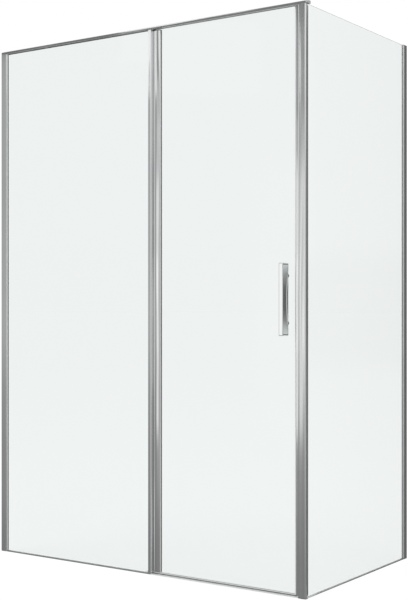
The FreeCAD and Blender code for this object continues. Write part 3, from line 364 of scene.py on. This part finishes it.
lengthwise = {"x": 0, "y": 1, "z": 2}
madeFinishes = {}


def finish(slotName, along="z"):
    # base colour = colour x (1 + shade x cloud), roughness = smooth to worn by the same cloud, and the
    # normal is tilted by two heights: the grain, drawn out along the piece, and the slow waves
    key = slotName + along.upper()
    if key in madeFinishes:
        return madeFinishes[key]
    look = finishes[slotName]
    material = bpy.data.materials.new(key)
    material.use_nodes = True
    tree = material.node_tree
    shader = tree.nodes["Principled BSDF"]
    place = addNode(tree, "TexCoord").outputs["Object"]
    grainScale = [1.0, 1.0, 1.0]
    grainScale[lengthwise[along]] = look["stretch"]
    waveScale = [1.0, 1.0, 1.0]
    waveScale[lengthwise[along]] = noise["drawnOut"] if look["stretch"] < 0.5 else 1.0
    drawn = addNode(tree, "Mapping", {"Vector": place, "Scale": grainScale}).outputs[0]
    slow = addNode(tree, "Mapping", {"Vector": place, "Scale": waveScale}).outputs[0]
    grain = addNode(tree, "TexNoise", {
        "Vector": drawn, "Scale": 1 / (look["grainPitch"] * mm), "Detail": 3.0, "Roughness": 0.6,
    }).outputs["Fac"]
    wave = addNode(tree, "TexNoise", {
        "Vector": slow, "Scale": 1 / (look["wavePitch"] * mm), "Detail": 1.0, "Roughness": 0.4,
    }).outputs["Fac"]
    cloud = addNode(tree, "TexNoise", {
        "Vector": place, "Scale": noise["cloud"], "Detail": 6.0, "Roughness": 0.6,
    }).outputs["Fac"]
    both = calc(tree, "ADD", calc(tree, "MULTIPLY", grain, 0.5), calc(tree, "MULTIPLY", cloud, 0.5))
    low = [channel * (1 - look["shade"]) for channel in look["colour"]]
    high = [min(noise["lightest"], channel * (1 + look["shade"])) for channel in look["colour"]]
    mix = spread(tree, both, 0.0, 1.0)
    tint = addNode(tree, "Mix", {0: mix, 6: (*low, 1), 7: (*high, 1)}, data_type="RGBA").outputs[2]
    tree.links.new(tint, shader.inputs["Base Color"])
    shader.inputs["Metallic"].default_value = look["metallic"]
    tree.links.new(spread(tree, both, *look["rough"]), shader.inputs["Roughness"])
    first = addNode(tree, "Bump", {"Height": wave, "Distance": look["waveDepth"] * mm, "Strength": 1.0})
    second = addNode(tree, "Bump", {
        "Height": grain, "Distance": look["grainDepth"] * mm, "Strength": 1.0, "Normal": first.outputs[0],
    })
    tree.links.new(second.outputs[0], shader.inputs["Normal"])
    madeFinishes[key] = material
    return material


# Clear finishes: tint, roughness from smooth to worn, refractive index, height and pitch in millimetres of
# ripple, grinding marks or waves, and the share of the light that goes through. The glass has a low index, so
# that the panes stay even.
clearLooks = {
    "glassFace": {
        "tint": (0.867, 0.896, 0.890), "rough": (0.0, 0.004), "index": 1.2,
        "ripple": 0.002, "ripplePitch": 90.0, "passing": 1.0,
    },
    "glassGroundEdge": {
        "tint": (0.93, 0.96, 0.95), "rough": (0.12, 0.2), "index": 1.2,
        "ripple": 0.004, "ripplePitch": 1.0, "passing": 1.0,
    },
    # a lighter copy of the face glass for the side pane: painted light, so that the obliquely seen side pane
    # matches the brightness of the front panes
    "glassSideFacePaintedLight": {
        "tint": (0.902, 0.932, 0.925), "rough": (0.0, 0.004), "index": 1.2,
        "ripple": 0.002, "ripplePitch": 90.0, "passing": 1.0,
    },
    "clearSeal": {
        "tint": (0.96, 0.97, 0.97), "rough": (0.08, 0.16), "index": 1.3,
        "ripple": 0.01, "ripplePitch": 6.0, "passing": 0.97,
    },
}


def clearMaterial(name):
    # light passes with the tint; a slow ripple moves the normal and a faint film varies the roughness
    look = clearLooks[name]
    material = bpy.data.materials.new(name)
    material.use_nodes = True
    tree = material.node_tree
    shader = tree.nodes["Principled BSDF"]
    place = addNode(tree, "TexCoord").outputs["Object"]
    ripple = addNode(tree, "TexNoise", {
        "Vector": place, "Scale": 1 / (look["ripplePitch"] * mm), "Detail": 2.0, "Roughness": 0.4,
    }).outputs["Fac"]
    film = addNode(tree, "TexNoise", {
        "Vector": place, "Scale": noise["film"], "Detail": 6.0, "Roughness": 0.65,
    }).outputs["Fac"]
    low = [channel * 0.995 for channel in look["tint"]]
    mix = spread(tree, film, 0.0, 1.0)
    inputs = {0: mix, 6: (*low, 1), 7: (*look["tint"], 1)}
    colour = addNode(tree, "Mix", inputs, data_type="RGBA").outputs[2]
    tree.links.new(colour, shader.inputs["Base Color"])
    tree.links.new(spread(tree, film, *look["rough"]), shader.inputs["Roughness"])
    shader.inputs["IOR"].default_value = look["index"]
    shader.inputs["Transmission Weight"].default_value = look["passing"]
    bump = addNode(tree, "Bump", {"Height": ripple, "Distance": look["ripple"] * mm, "Strength": 1.0})
    tree.links.new(bump.outputs[0], shader.inputs["Normal"])
    return material


glassFace = clearMaterial("glassFace")
glassEdge = clearMaterial("glassGroundEdge")
# lighter copy of the face glass for the side pane, with painted light
sideFaceLitCopy = clearMaterial("glassSideFacePaintedLight")
clearSeal = clearMaterial("clearSeal")
print("finishes ready")


def keepPiece(piece, nodeName):
    # the piece rides where its node rides and stands for it
    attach(piece, nodes[nodeName]["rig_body"])
    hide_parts(nodeName)
    return piece


softening = {
    "join": 0.002,         # corners closer than this become one, millimetres
    "flat": 0.5,           # faces that meet at less than this are merged, degrees
    "sharp": 40.0,         # edges are rounded from this angle on, degrees
    "segments": 2,         # steps of the rounding
}


def softened(nodeName, pieceName, slotName, width, along="z", material=None, reshape=None):
    # copy of the solid: shared corners joined, flat neighbours merged, reshaped where asked, and each sharp
    # edge rounded by width
    shape = bmesh.new()
    shape.from_mesh(nodes[nodeName].data)
    bmesh.ops.remove_doubles(shape, verts=shape.verts, dist=softening["join"] * mm)
    bmesh.ops.dissolve_limit(
        shape, angle_limit=math.radians(softening["flat"]), verts=shape.verts, edges=shape.edges,
        use_dissolve_boundaries=False,
    )
    if reshape:
        reshape(shape)
    shape.verts.index_update()
    points = [vert.co.copy() for vert in shape.verts]
    faces = [[vert.index for vert in face.verts] for face in shape.faces]
    shape.free()
    mesh = bpy.data.meshes.new(pieceName)
    mesh.from_pydata(points, [], faces)
    mesh.materials.append(material or finish(slotName, along))
    mesh.shade_smooth()
    piece = bpy.data.objects.new(pieceName, mesh)
    scene.collection.objects.link(piece)
    bevel = piece.modifiers.new("edges", "BEVEL")
    bevel.width = width * mm
    bevel.segments = softening["segments"]
    bevel.limit_method = "ANGLE"
    bevel.angle_limit = math.radians(softening["sharp"])
    bevel.use_clamp_overlap = False
    weighted = piece.modifiers.new("normals", "WEIGHTED_NORMAL")
    weighted.weight = 100
    weighted.keep_sharp = True
    return keepPiece(piece, nodeName)


# Small changes to the copies, in millimetres. Places are measured from the left wall and the post's front.
trim = {
    "leftWall": -700.0,            # those two in the frame's own x and y
    "frontFace": -385.4,
    "noseCorner": (28.0, 1.5),     # front right corner of the left wall's glass profile
    "noseLength": 3.3,             # length of the slope that leads to it
    "noseDrop": 0.75,              # and how far that corner moves back
    "postCorner": (1368.0, 0.0),   # the post's inner front corner
    "postLength": 6.0,
    "postDrop": 1.6,
    "flangeCorner": (1398.0, 14.0),  # end of the post's flange beside the side glass
    "flangeLength": 4.0,
    "flangeDrop": 1.2,
    "sill": 1.6,                   # legs of the front sill drawn lower
    "sideSill": 2.4,
    "wiperTop": 5.4,               # height of the lower seal's dark wiper above the floor
    "near": 0.1,                   # corners within this of a place above are moved
}


def cutAcross(shape, place, direction):
    everything = shape.verts[:] + shape.edges[:] + shape.faces[:]
    bmesh.ops.bisect_plane(shape, geom=everything, plane_co=place, plane_no=direction, dist=1e-6)


def sloped(corner, cutAxis, length, drop):
    # an upright corner is moved sideways by drop, and the slope that this makes begins at a cut across the
    # piece, length before the corner
    place = ((corner[0] + trim["leftWall"]) * mm, (corner[1] + trim["frontFace"]) * mm)
    start = [0.0, 0.0, 0.0]
    start[cutAxis] = place[cutAxis] - length * mm
    turn = [0.0, 0.0, 0.0]
    turn[cutAxis] = 1.0

    def reshape(shape):
        cutAcross(shape, start, turn)
        for vert in shape.verts:
            if math.hypot(vert.co.x - place[0], vert.co.y - place[1]) < trim["near"] * mm:
                vert.co[1 - cutAxis] += drop * mm

    return reshape


def postCorners(shape):
    # the inner front corner leans back to the cover strip, the end of the side flange leans in to the glass
    sloped(trim["postCorner"], 0, -trim["postLength"], trim["postDrop"])(shape)
    sloped(trim["flangeCorner"], 1, trim["flangeLength"], -trim["flangeDrop"])(shape)


def lowered(amount):
    # a sill's legs are drawn a little shorter, as the thin line under the panes in the photograph
    def reshape(shape):
        top = max(vert.co.z for vert in shape.verts)
        for vert in shape.verts:
            if vert.co.z > top - trim["near"] * mm:
                vert.co.z -= amount * mm

    return reshape


def cutSeal(shape):
    cutAcross(shape, (0, 0, trim["wiperTop"] * mm), (0, 0, 1))


profiles = (
    # node, piece, finish, rounding of its edges, its lengthwise direction
    ("front_wall_channel", "frontWallChannel", "bright", 0.3, "z"),
    ("fixed_edge_profile", "fixedEdgeProfile", "bright", 0.3, "z"),
    ("head_rail", "headRail", "bright", 0.3, "x"),
    ("rail_infill_strip", "railInfill", "bright", 0.3, "x"),
    ("side_glass_profile", "sideGlassProfile", "bright", 0.3, "z"),
    ("side_wall_channel", "sideWallChannel", "bright", 0.3, "z"),
    ("door_edge_profile", "doorEdgeProfile", "bright", 0.35, "z"),
    ("door_top_clamp", "doorTopClamp", "bright", 0.25, "x"),
    ("rail_wall_bracket", "railWallBracket", "bright_plastic", 0.3, "x"),
    ("rail_end_cap", "railEndCap", "bright_plastic", 0.4, "x"),
    ("side_channel_cap", "sideChannelCap", "bright_plastic", 0.4, "y"),
    ("rail_stops", "railStops", "steel_block", 0.4, "x"),
    ("rail_buffers", "railBuffers", "seal_rubber", 0.5, "x"),
    ("corner_connector", "cornerConnector", "dark_plastic", 0.3, "z"),
    ("post_foot", "postFoot", "dark_plastic", 0.4, "z"),
    ("left_roller_carriage", "leftCarriage", "dark_plastic", 0.5, "x"),
    ("right_roller_carriage", "rightCarriage", "dark_plastic", 0.5, "x"),
    ("door_profile_caps", "doorProfileCaps", "grey_plastic", 0.4, "z"),
    ("post_magnet_holder", "closingProfile", "bright", 0.2, "z"),
    ("rail_glass_gaskets", "railGaskets", "seal_rubber", 0.3, "x"),
    ("side_post_gaskets", "postGaskets", "seal_rubber", 0.4, "z"),
    ("fixed_setting_blocks", "fixedSettingBlocks", "grey_plastic", 0.4, "x"),
    ("side_setting_blocks", "sideSettingBlocks", "grey_plastic", 0.4, "y"),
)
for nodeName, pieceName, slotName, width, along in profiles:
    softened(nodeName, pieceName, slotName, width, along)
softened("front_glass_profile", "frontGlassProfile", "bright", 0.3,
         reshape=sloped(trim["noseCorner"], 0, trim["noseLength"], trim["noseDrop"]))
softened("fixed_bottom_profile", "fixedSill", "bright", 0.25, "x", reshape=lowered(trim["sill"]))
softened("side_bottom_profile", "sideSill", "bright", 0.25, "y", reshape=lowered(trim["sideSill"]))
softened("threshold", "thresholdBar", "bright", 0.25, material=finish("satin", "x"))
softened("corner_post", "cornerPost", "bright", 0.35, material=finish("broadBright"), reshape=postCorners)
softened("bottom_guide", "bottomGuide", "clear_plastic", 0.5, "x", material=clearSeal)


def twoTone(piece, material, axis, low, high):
    # faces whose middle lies between low and high along the axis take the second material
    mesh = piece.data
    mesh.materials.append(material)
    centres = np.empty(len(mesh.polygons) * 3, np.float32)
    mesh.polygons.foreach_get("center", centres)
    place = centres[axis::3]
    mesh.polygons.foreach_set("material_index", ((place > low) & (place < high)).astype(np.int32))


# the strip on the door's edge is clear on the glass and milky round its magnet, and the lower seal has a dark
# wiper
magnetSeal = softened("door_magnet_seal", "doorMagnetSeal", "clear_plastic", 0.2, material=clearSeal)
twoTone(magnetSeal, finish("milkySeal"), 0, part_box("door_glass")[1][0], math.inf)
lowerSeal = softened("door_bottom_seal", "doorBottomSeal", "clear_plastic", 0.2,
                     material=finish("milkySeal", "x"), reshape=cutSeal)
twoTone(lowerSeal, finish("seal_rubber", "x"), 2, -math.inf, trim["wiperTop"] * mm)
print("profiles ready")


def islands(nodeName):
    # boxes of a node's loose parts: every corner takes the lowest label among its neighbours, until none
    # changes
    mesh = nodes[nodeName].data
    points = np.empty(len(mesh.vertices) * 3, np.float32)
    mesh.vertices.foreach_get("co", points)
    points = points.reshape(-1, 3).astype(float)
    keys = np.round(points / (0.005 * mm)).astype(np.int64)
    labels = np.unique(keys, axis=0, return_inverse=True)[1].reshape(-1)
    edges = np.empty(len(mesh.edges) * 2, np.int32)
    mesh.edges.foreach_get("vertices", edges)
    first, second = labels[edges.reshape(-1, 2)].T
    group = np.arange(labels.max() + 1)
    while True:
        lower = np.minimum(group[first], group[second])
        after = group.copy()
        np.minimum.at(after, first, lower)
        np.minimum.at(after, second, lower)
        if np.array_equal(after, group):
            break
        group = after
    of = group[labels]
    return [(points[of == label].min(axis=0), points[of == label].max(axis=0)) for label in np.unique(of)]


def ringPiece(pieceName, tubes, material, sharpAngle=35.0, reach=None):
    # each tube is an array ring x point x xyz; rings are joined by quads and both ends closed by a flat face
    points, faces, start = [], [], 0
    for tube in tubes:
        rings, count = tube.shape[:2]
        ring = np.arange(rings - 1)[:, None] * count + start
        near = np.arange(count)[None, :]
        far = (near + 1) % count
        quads = np.stack([ring + near, ring + far, ring + count + far, ring + count + near], axis=-1)
        faces += quads.reshape(-1, 4).tolist()
        faces.append((near[0][::-1] + start).tolist())
        faces.append((near[0] + start + (rings - 1) * count).tolist())
        points.append(tube.reshape(-1, 3))
        start += rings * count
    mesh = bpy.data.meshes.new(pieceName)
    mesh.from_pydata(np.concatenate(points).tolist(), [], faces)
    shape = bmesh.new()
    shape.from_mesh(mesh)
    bmesh.ops.recalc_face_normals(shape, faces=shape.faces)
    shape.to_mesh(mesh)
    shape.free()
    if reach is not None:
        layer = mesh.attributes.new("reach", "FLOAT", "POINT")
        layer.data.foreach_set("value", np.concatenate(reach).reshape(-1).astype(np.float32))
    mesh.shade_smooth()
    mesh.set_sharp_from_angle(angle=math.radians(sharpAngle))
    mesh.materials.append(material)
    piece = bpy.data.objects.new(pieceName, mesh)
    scene.collection.objects.link(piece)
    return piece


paneArris = 0.6            # ground edge between a face and the rim, millimetres


def pane(nodeName, pieceName, across, face):
    # Four rings through the thickness: face, rim, rim and face, the faces smaller by the arris all round.
    # Faces that don't look along "across" are ground edges. The sleeves' flanges cover the screw holes.
    low, high = (np.array(corner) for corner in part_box(nodeName))
    first, second = [index for index in range(3) if index != across]
    depth = np.array([0.0, paneArris, 0.0, 0.0]) * mm
    depth[2:] = high[across] - low[across] - depth[1::-1]
    inset = np.array([paneArris, 0.0, 0.0, paneArris])[:, None] * mm
    tube = np.empty((4, 4, 3))
    tube[:, :, across] = low[across] + depth[:, None]
    tube[:, :, first] = np.where([True, False, False, True], low[first] + inset, high[first] - inset)
    tube[:, :, second] = np.where([True, True, False, False], low[second] + inset, high[second] - inset)
    piece = ringPiece(pieceName, [tube], face)
    mesh = piece.data
    mesh.materials.append(glassEdge)
    normals = np.empty(len(mesh.polygons) * 3, np.float32)
    mesh.polygons.foreach_get("normal", normals)
    edge = (np.abs(normals.reshape(-1, 3)[:, across]) < 0.9).astype(np.int32)
    mesh.polygons.foreach_set("material_index", edge)
    return keepPiece(piece, nodeName)


pane("fixed_glass", "fixedPane", 1, glassFace)
pane("door_glass", "doorPane", 1, glassFace)
pane("side_glass", "sidePane", 0, sideFaceLitCopy)
print("panes ready")

gasketShape = {
    "bite": 10.0,          # thin part inside the profile, millimetres
    "seat": 0.8,           # its thickness
    "wallLip": 3.2,        # rounded part on the glass: at the left wall,
    "doorLip": 3.4,        # on the door
    "sideLip": 2.4,        # and at the back wall
    "rise": 1.6,           # thickness of the lip at its root
    "flat": 0.6,           # share of the lip that lies flat on the glass
}
# tones of the gasket lips: the root's tone is painted shade from the profile, and the tip's tone is painted
# light from the glass
gasketPaintedShading = {
    "darkPaintedShadeRoot": 0.32,
    "darkPaintedLitTip": 0.85,
    "lightPaintedShadeRoot": 0.62,
    "lightPaintedLitTip": 0.95,
    "from": 0.2,           # reach at which the root's painted shade ends
    "to": 0.9,             # and at which the tip's painted light begins
    "mottle": 0.1,         # how much of the rubber's own mottled colour is added
    "behind": 0.75,        # painted light: the strip behind the pane is drawn lighter, and its reach begins here
}


def paintedShadingGasketMaterial(name, root, tip):
    # painted shading: the colour follows the attribute "reach", 0 at the root and 1 at the thin tip; the root
    # is darkened as painted shade from the profile, and the tip is lightened as painted light where the glass
    # shines through
    material = finish("seal_rubber").copy()
    material.name = name
    tree = material.node_tree
    shader = tree.nodes["Principled BSDF"]
    reach = addNode(tree, "Attribute", attribute_name="reach").outputs["Fac"]
    old = shader.inputs["Base Color"].links[0].from_socket
    mottle = calc(tree, "MULTIPLY", old, gasketPaintedShading["mottle"])
    share = spread(tree, reach, 0.0, 1.0, gasketPaintedShading["from"], gasketPaintedShading["to"])
    tone = addNode(tree, "Mix", {0: share, 2: root, 3: tip}).outputs[0]
    tree.links.new(calc(tree, "ADD", tone, mottle), shader.inputs["Base Color"])
    return material


def gasketStrips(nodeName, pieceName, tipAxis, tipSign, lipLength, material):
    # Section: flat on the glass; the lip's height is rise x sqrt(1 - s^3) over its length s from 0 to 1, then
    # the thin part runs back to the root. The section is carried along z.
    look = gasketShape
    bite = look["bite"]
    s = np.linspace(0.0, 1.0, 11)
    lip = np.stack([bite + lipLength * s, look["rise"] * np.sqrt(1 - s**3)], axis=1)
    flat = np.array([(0.0, 0.0), (bite, 0.0), (bite + look["flat"] * lipLength, 0.0)])
    back = np.array([(bite, look["seat"]), (0.0, look["seat"])])
    section = np.concatenate([flat, lip[::-1], back]) * mm
    thickAxis = 1 - tipAxis
    boxes = islands(nodeName)
    middle = np.mean([low[thickAxis] + high[thickAxis] for low, high in boxes]) / 2
    tubes, reach = [], []
    for low, high in boxes:
        levels = np.linspace(low[2], high[2], 9)
        tube = np.empty((len(levels), len(section), 3))
        tube[:, :, 2] = levels[:, None]
        root = low[tipAxis] if tipSign > 0 else high[tipAxis]
        tube[:, :, tipAxis] = root + tipSign * section[:, 0]
        outward = 1 if low[thickAxis] + high[thickAxis] > 2 * middle else -1
        face = low[thickAxis] if outward > 0 else high[thickAxis]
        tube[:, :, thickAxis] = face + outward * section[:, 1]
        tubes.append(tube)
        along = np.clip((section[:, 0] / mm - bite) / lipLength, 0, 1)
        # painted light: the strip behind the pane starts lighter, as if lit through the glass
        if thickAxis == 1 and outward > 0:
            along = np.maximum(along, gasketPaintedShading["behind"])
        reach.append(np.tile(along, len(levels)))
    piece = ringPiece(pieceName, tubes, material, reach=reach)
    return keepPiece(piece, nodeName)


# dark and light gaskets, each with painted shade at the root and painted light at the tip
darkLipPaintedShading = paintedShadingGasketMaterial("gasketDarkPaintedShading", gasketPaintedShading["darkPaintedShadeRoot"], gasketPaintedShading["darkPaintedLitTip"])
lightLipPaintedShading = paintedShadingGasketMaterial("gasketLightPaintedShading", gasketPaintedShading["lightPaintedShadeRoot"], gasketPaintedShading["lightPaintedLitTip"])
gasketStrips("fixed_glass_gaskets", "fixedGaskets", 0, 1, gasketShape["wallLip"], darkLipPaintedShading)
gasketStrips("door_glass_gaskets", "doorGaskets", 0, 1, gasketShape["doorLip"], darkLipPaintedShading)
gasketStrips("side_wall_gaskets", "sideGaskets", 1, -1, gasketShape["sideLip"], lightLipPaintedShading)


def turned(profile, foot, axis, sign, sides=32, hexFrom=None):
    # profile rows are (distance along the axis, radius); each row is a circle, and from the row hexFrom on a
    # hexagon, whose radius is r x cos 30 / cos(angle to the middle of the side)
    angle = np.arange(sides) * 2 * math.pi / sides
    radius = np.repeat(profile[:, 1:2], sides, axis=1)
    if hexFrom is not None:
        turn = np.mod(angle, math.pi / 3) - math.pi / 6
        radius[hexFrom:] *= math.cos(math.pi / 6) / np.cos(turn)
    tube = np.empty((len(profile), sides, 3))
    others = [index for index in range(3) if index != axis]
    tube[:, :, axis] = foot[axis] + sign * profile[:, 0:1]
    tube[:, :, others[0]] = foot[others[0]] + radius * np.cos(angle)
    tube[:, :, others[1]] = foot[others[1]] + radius * np.sin(angle)
    return tube


capShape = {
    "rim": 0.35,           # straight rim, as a share of the height
    "arris": 0.06,         # height of its lower arris
    "foot": 0.97,          # radius at the foot, as a share of the radius
    "flat": 0.96,          # share of the dome's quarter turn, past which its top is flat
}


def screwCaps(nodeName, pieceName, axis, sign):
    # a straight rim, then a dome: height from rim to top x sin, radius x cos
    look = capShape
    tubes = []
    for low, high in islands(nodeName):
        foot = (low + high) / 2
        foot[axis] = low[axis] if sign > 0 else high[axis]
        height = high[axis] - low[axis]
        radius = (high[2] - low[2]) / 2
        turn = np.linspace(0, math.pi / 2 * look["flat"], 9)
        up = look["rim"] + (1 - look["rim"]) * np.sin(turn) / np.sin(turn[-1])
        dome = np.stack([height * up, radius * np.cos(turn)], axis=1)
        profile = np.concatenate([[(0.0, radius * look["foot"]), (look["arris"] * height, radius)], dome])
        tubes.append(turned(profile, foot, axis, sign))
    piece = ringPiece(pieceName, tubes, finish("grey_plastic"))
    return keepPiece(piece, nodeName)


screwCaps("front_screw_caps", "frontScrewCaps", 1, 1)
screwCaps("side_screw_caps", "sideScrewCaps", 0, -1)

gripShape = {
    "corner": 1.4,         # rounding of its upright edges, millimetres
    "end": 1.0,            # rounding of its top and bottom
    "scoop": 4.0,          # depth of the finger scoop in each side
    "tip": 4.0,            # flat side above and below it
    "border": 2.0,         # solid front and back edge of the side
    "fade": 0.6,           # step from that edge to the scoop
}


def doorGrip():
    # A rounded rectangle carried upwards. Both sides are pressed in by scoop x E(z) x W(y): E is the parabola
    # 1 - t^2 with t from -1 to 1 over the scoop's length; W steps from 0 on the borders to 1 between them.
    look = gripShape
    low, high = (np.array(corner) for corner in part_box("handle_grip"))
    half = (high[:2] - low[:2]) / 2
    middle = (high + low) / 2
    corner = look["corner"] * mm
    turn = np.linspace(0, math.pi / 2, 6)
    arc = np.stack([np.cos(turn), np.sin(turn)], axis=1) * corner
    inner = half - corner
    side = np.linspace(-inner[1], inner[1], 72)[1:-1]
    right = np.stack([np.full(len(side), half[0]), side], axis=1)
    face = np.linspace(inner[0], -inner[0], 14)[1:-1]
    back = np.stack([face, np.full(len(face), half[1])], axis=1)
    quarter = inner + arc
    ring = np.concatenate([
        right, quarter, back, quarter[::-1] * (-1, 1), -right, -quarter, -back, quarter[::-1] * (1, -1),
    ])
    rise = np.linspace(0, math.pi / 2, 5)
    end = look["end"] * mm
    steps = np.linspace(low[2] + end, high[2] - end, 120)
    lowEnd = np.stack([low[2] + end * (1 - np.cos(rise)), end * (1 - np.sin(rise))], axis=1)
    highEnd = np.stack([high[2] - end * (1 - np.cos(rise)), end * (1 - np.sin(rise))], axis=1)[::-1]
    body = np.stack([steps, np.zeros(len(steps))], axis=1)[1:-1]
    rows = np.concatenate([lowEnd, body, highEnd])
    shrink = 1 - rows[:, 1, None, None] / half
    tube = np.empty((len(rows), len(ring), 3))
    tube[:, :, :2] = ring * shrink
    tube[:, :, 2] = rows[:, 0:1]
    t = np.clip(np.abs(rows[:, 0] - middle[2]) / ((high[2] - low[2]) / 2 - look["tip"] * mm), 0, 1)
    along = 1 - t**2
    fromEdge = (half[1] - np.abs(ring[:, 1])) / mm - look["border"]
    across = np.clip(fromEdge / look["fade"], 0, 1)
    pressed = look["scoop"] * mm * along[:, None] * across[None, :]
    tube[:, :, 0] -= np.sign(ring[:, 0]) * pressed
    tube[:, :, :2] += middle[:2]
    piece = ringPiece("doorGrip", [tube], finish("chrome"), sharpAngle=60.0)
    return keepPiece(piece, "handle_grip")


doorGrip()

gripScrew = {
    "shank": 2.5,          # radius, millimetres
    "point": 0.5,          # bevel at the shank's tip
    "head": 4.2,           # radius of the head
    "height": 3.0,         # its height
    "under": 0.3,          # bevel under it
    "edge": 0.7,           # its rounded rim
    "socket": 2.0,         # half the width over the corners of the hexagon
    "deep": 1.8,           # depth of that socket
    "mouth": 0.25,         # bevel round it
}


def gripScrews():
    # rows run from the shank's tip over the head's rim, a quarter circle, into the hexagonal socket
    look = gripScrew
    shank, head, socket = look["shank"], look["head"], look["socket"]
    turn = np.linspace(0, math.pi / 2, 5)
    tubes = []
    for low, high in islands("handle_screws"):
        length = (high[1] - low[1]) / mm
        under = length - look["height"]
        shaft = [(0.0, shank - look["point"]), (look["point"], shank), (under, shank),
                 (under, head - look["under"]), (under + look["under"], head)]
        top = length - look["edge"] * (1 - np.sin(turn))
        rim = np.stack([top, head - look["edge"] * (1 - np.cos(turn))], axis=1)
        mouth = [(length, socket + look["mouth"]), (length - look["mouth"], socket)]
        recess = mouth + [(length - look["deep"], socket)]
        profile = np.concatenate([shaft, rim, recess]) * mm
        foot = (low + high) / 2
        foot[1] = low[1]
        tubes.append(turned(profile, foot, 1, 1, 36, hexFrom=len(profile) - 2))
    return keepPiece(ringPiece("gripScrews", tubes, finish("chrome", "y")), "handle_screws")


gripScrews()

# wheel: share of half its width and share of its radius, from one hub face over the crowned tread to the
# other
wheelRows = np.array([
    (-0.70, 0.50), (-0.70, 0.72), (-0.95, 0.76), (-1.00, 0.80), (-1.00, 0.90), (-0.93, 0.955), (-0.70, 0.985),
    (-0.35, 0.997), (0.0, 1.0), (0.35, 0.997), (0.70, 0.985), (0.93, 0.955), (1.00, 0.90), (1.00, 0.80),
    (0.95, 0.76), (0.70, 0.72), (0.70, 0.50),
])
for number in range(1, 5):
    tubes = []
    for low, high in islands(f"roller_wheels_{number}"):
        centre = (low + high) / 2
        reachOut = (high - low) / 2
        tubes.append(turned(wheelRows * (reachOut[1], reachOut[2]), centre, 1, 1, 48))
    wheels = ringPiece(f"rollerWheels{number}", tubes, finish("wheel_plastic"))
    keepPiece(wheels, f"roller_wheels_{number}")

print("small pieces ready")

# nodes whose own shape is right take only a finish
plainNodes = {
    "pile": ("overlap_brush_seal",),
    "steel": ("front_adjusting_screws", "side_adjusting_screws", "rail_screws", "stop_set_screws",
              "roller_axle_1", "roller_axle_2", "roller_axle_3", "roller_axle_4"),
    "magnet": ("post_magnet", "door_magnet"),
    "clear_plastic": ("handle_sleeves",),
}
for slotName, names in plainNodes.items():
    for name in names:
        mesh = nodes[name].data
        mesh.materials.clear()
        mesh.materials.append(clearSeal if slotName == "clear_plastic" else finish(slotName))

finished = sum(plainNodes.values(), ())
bare = [name for name, node in nodes.items() if not node.hide_render and name not in finished]
print("nodes without a finish:", bare)
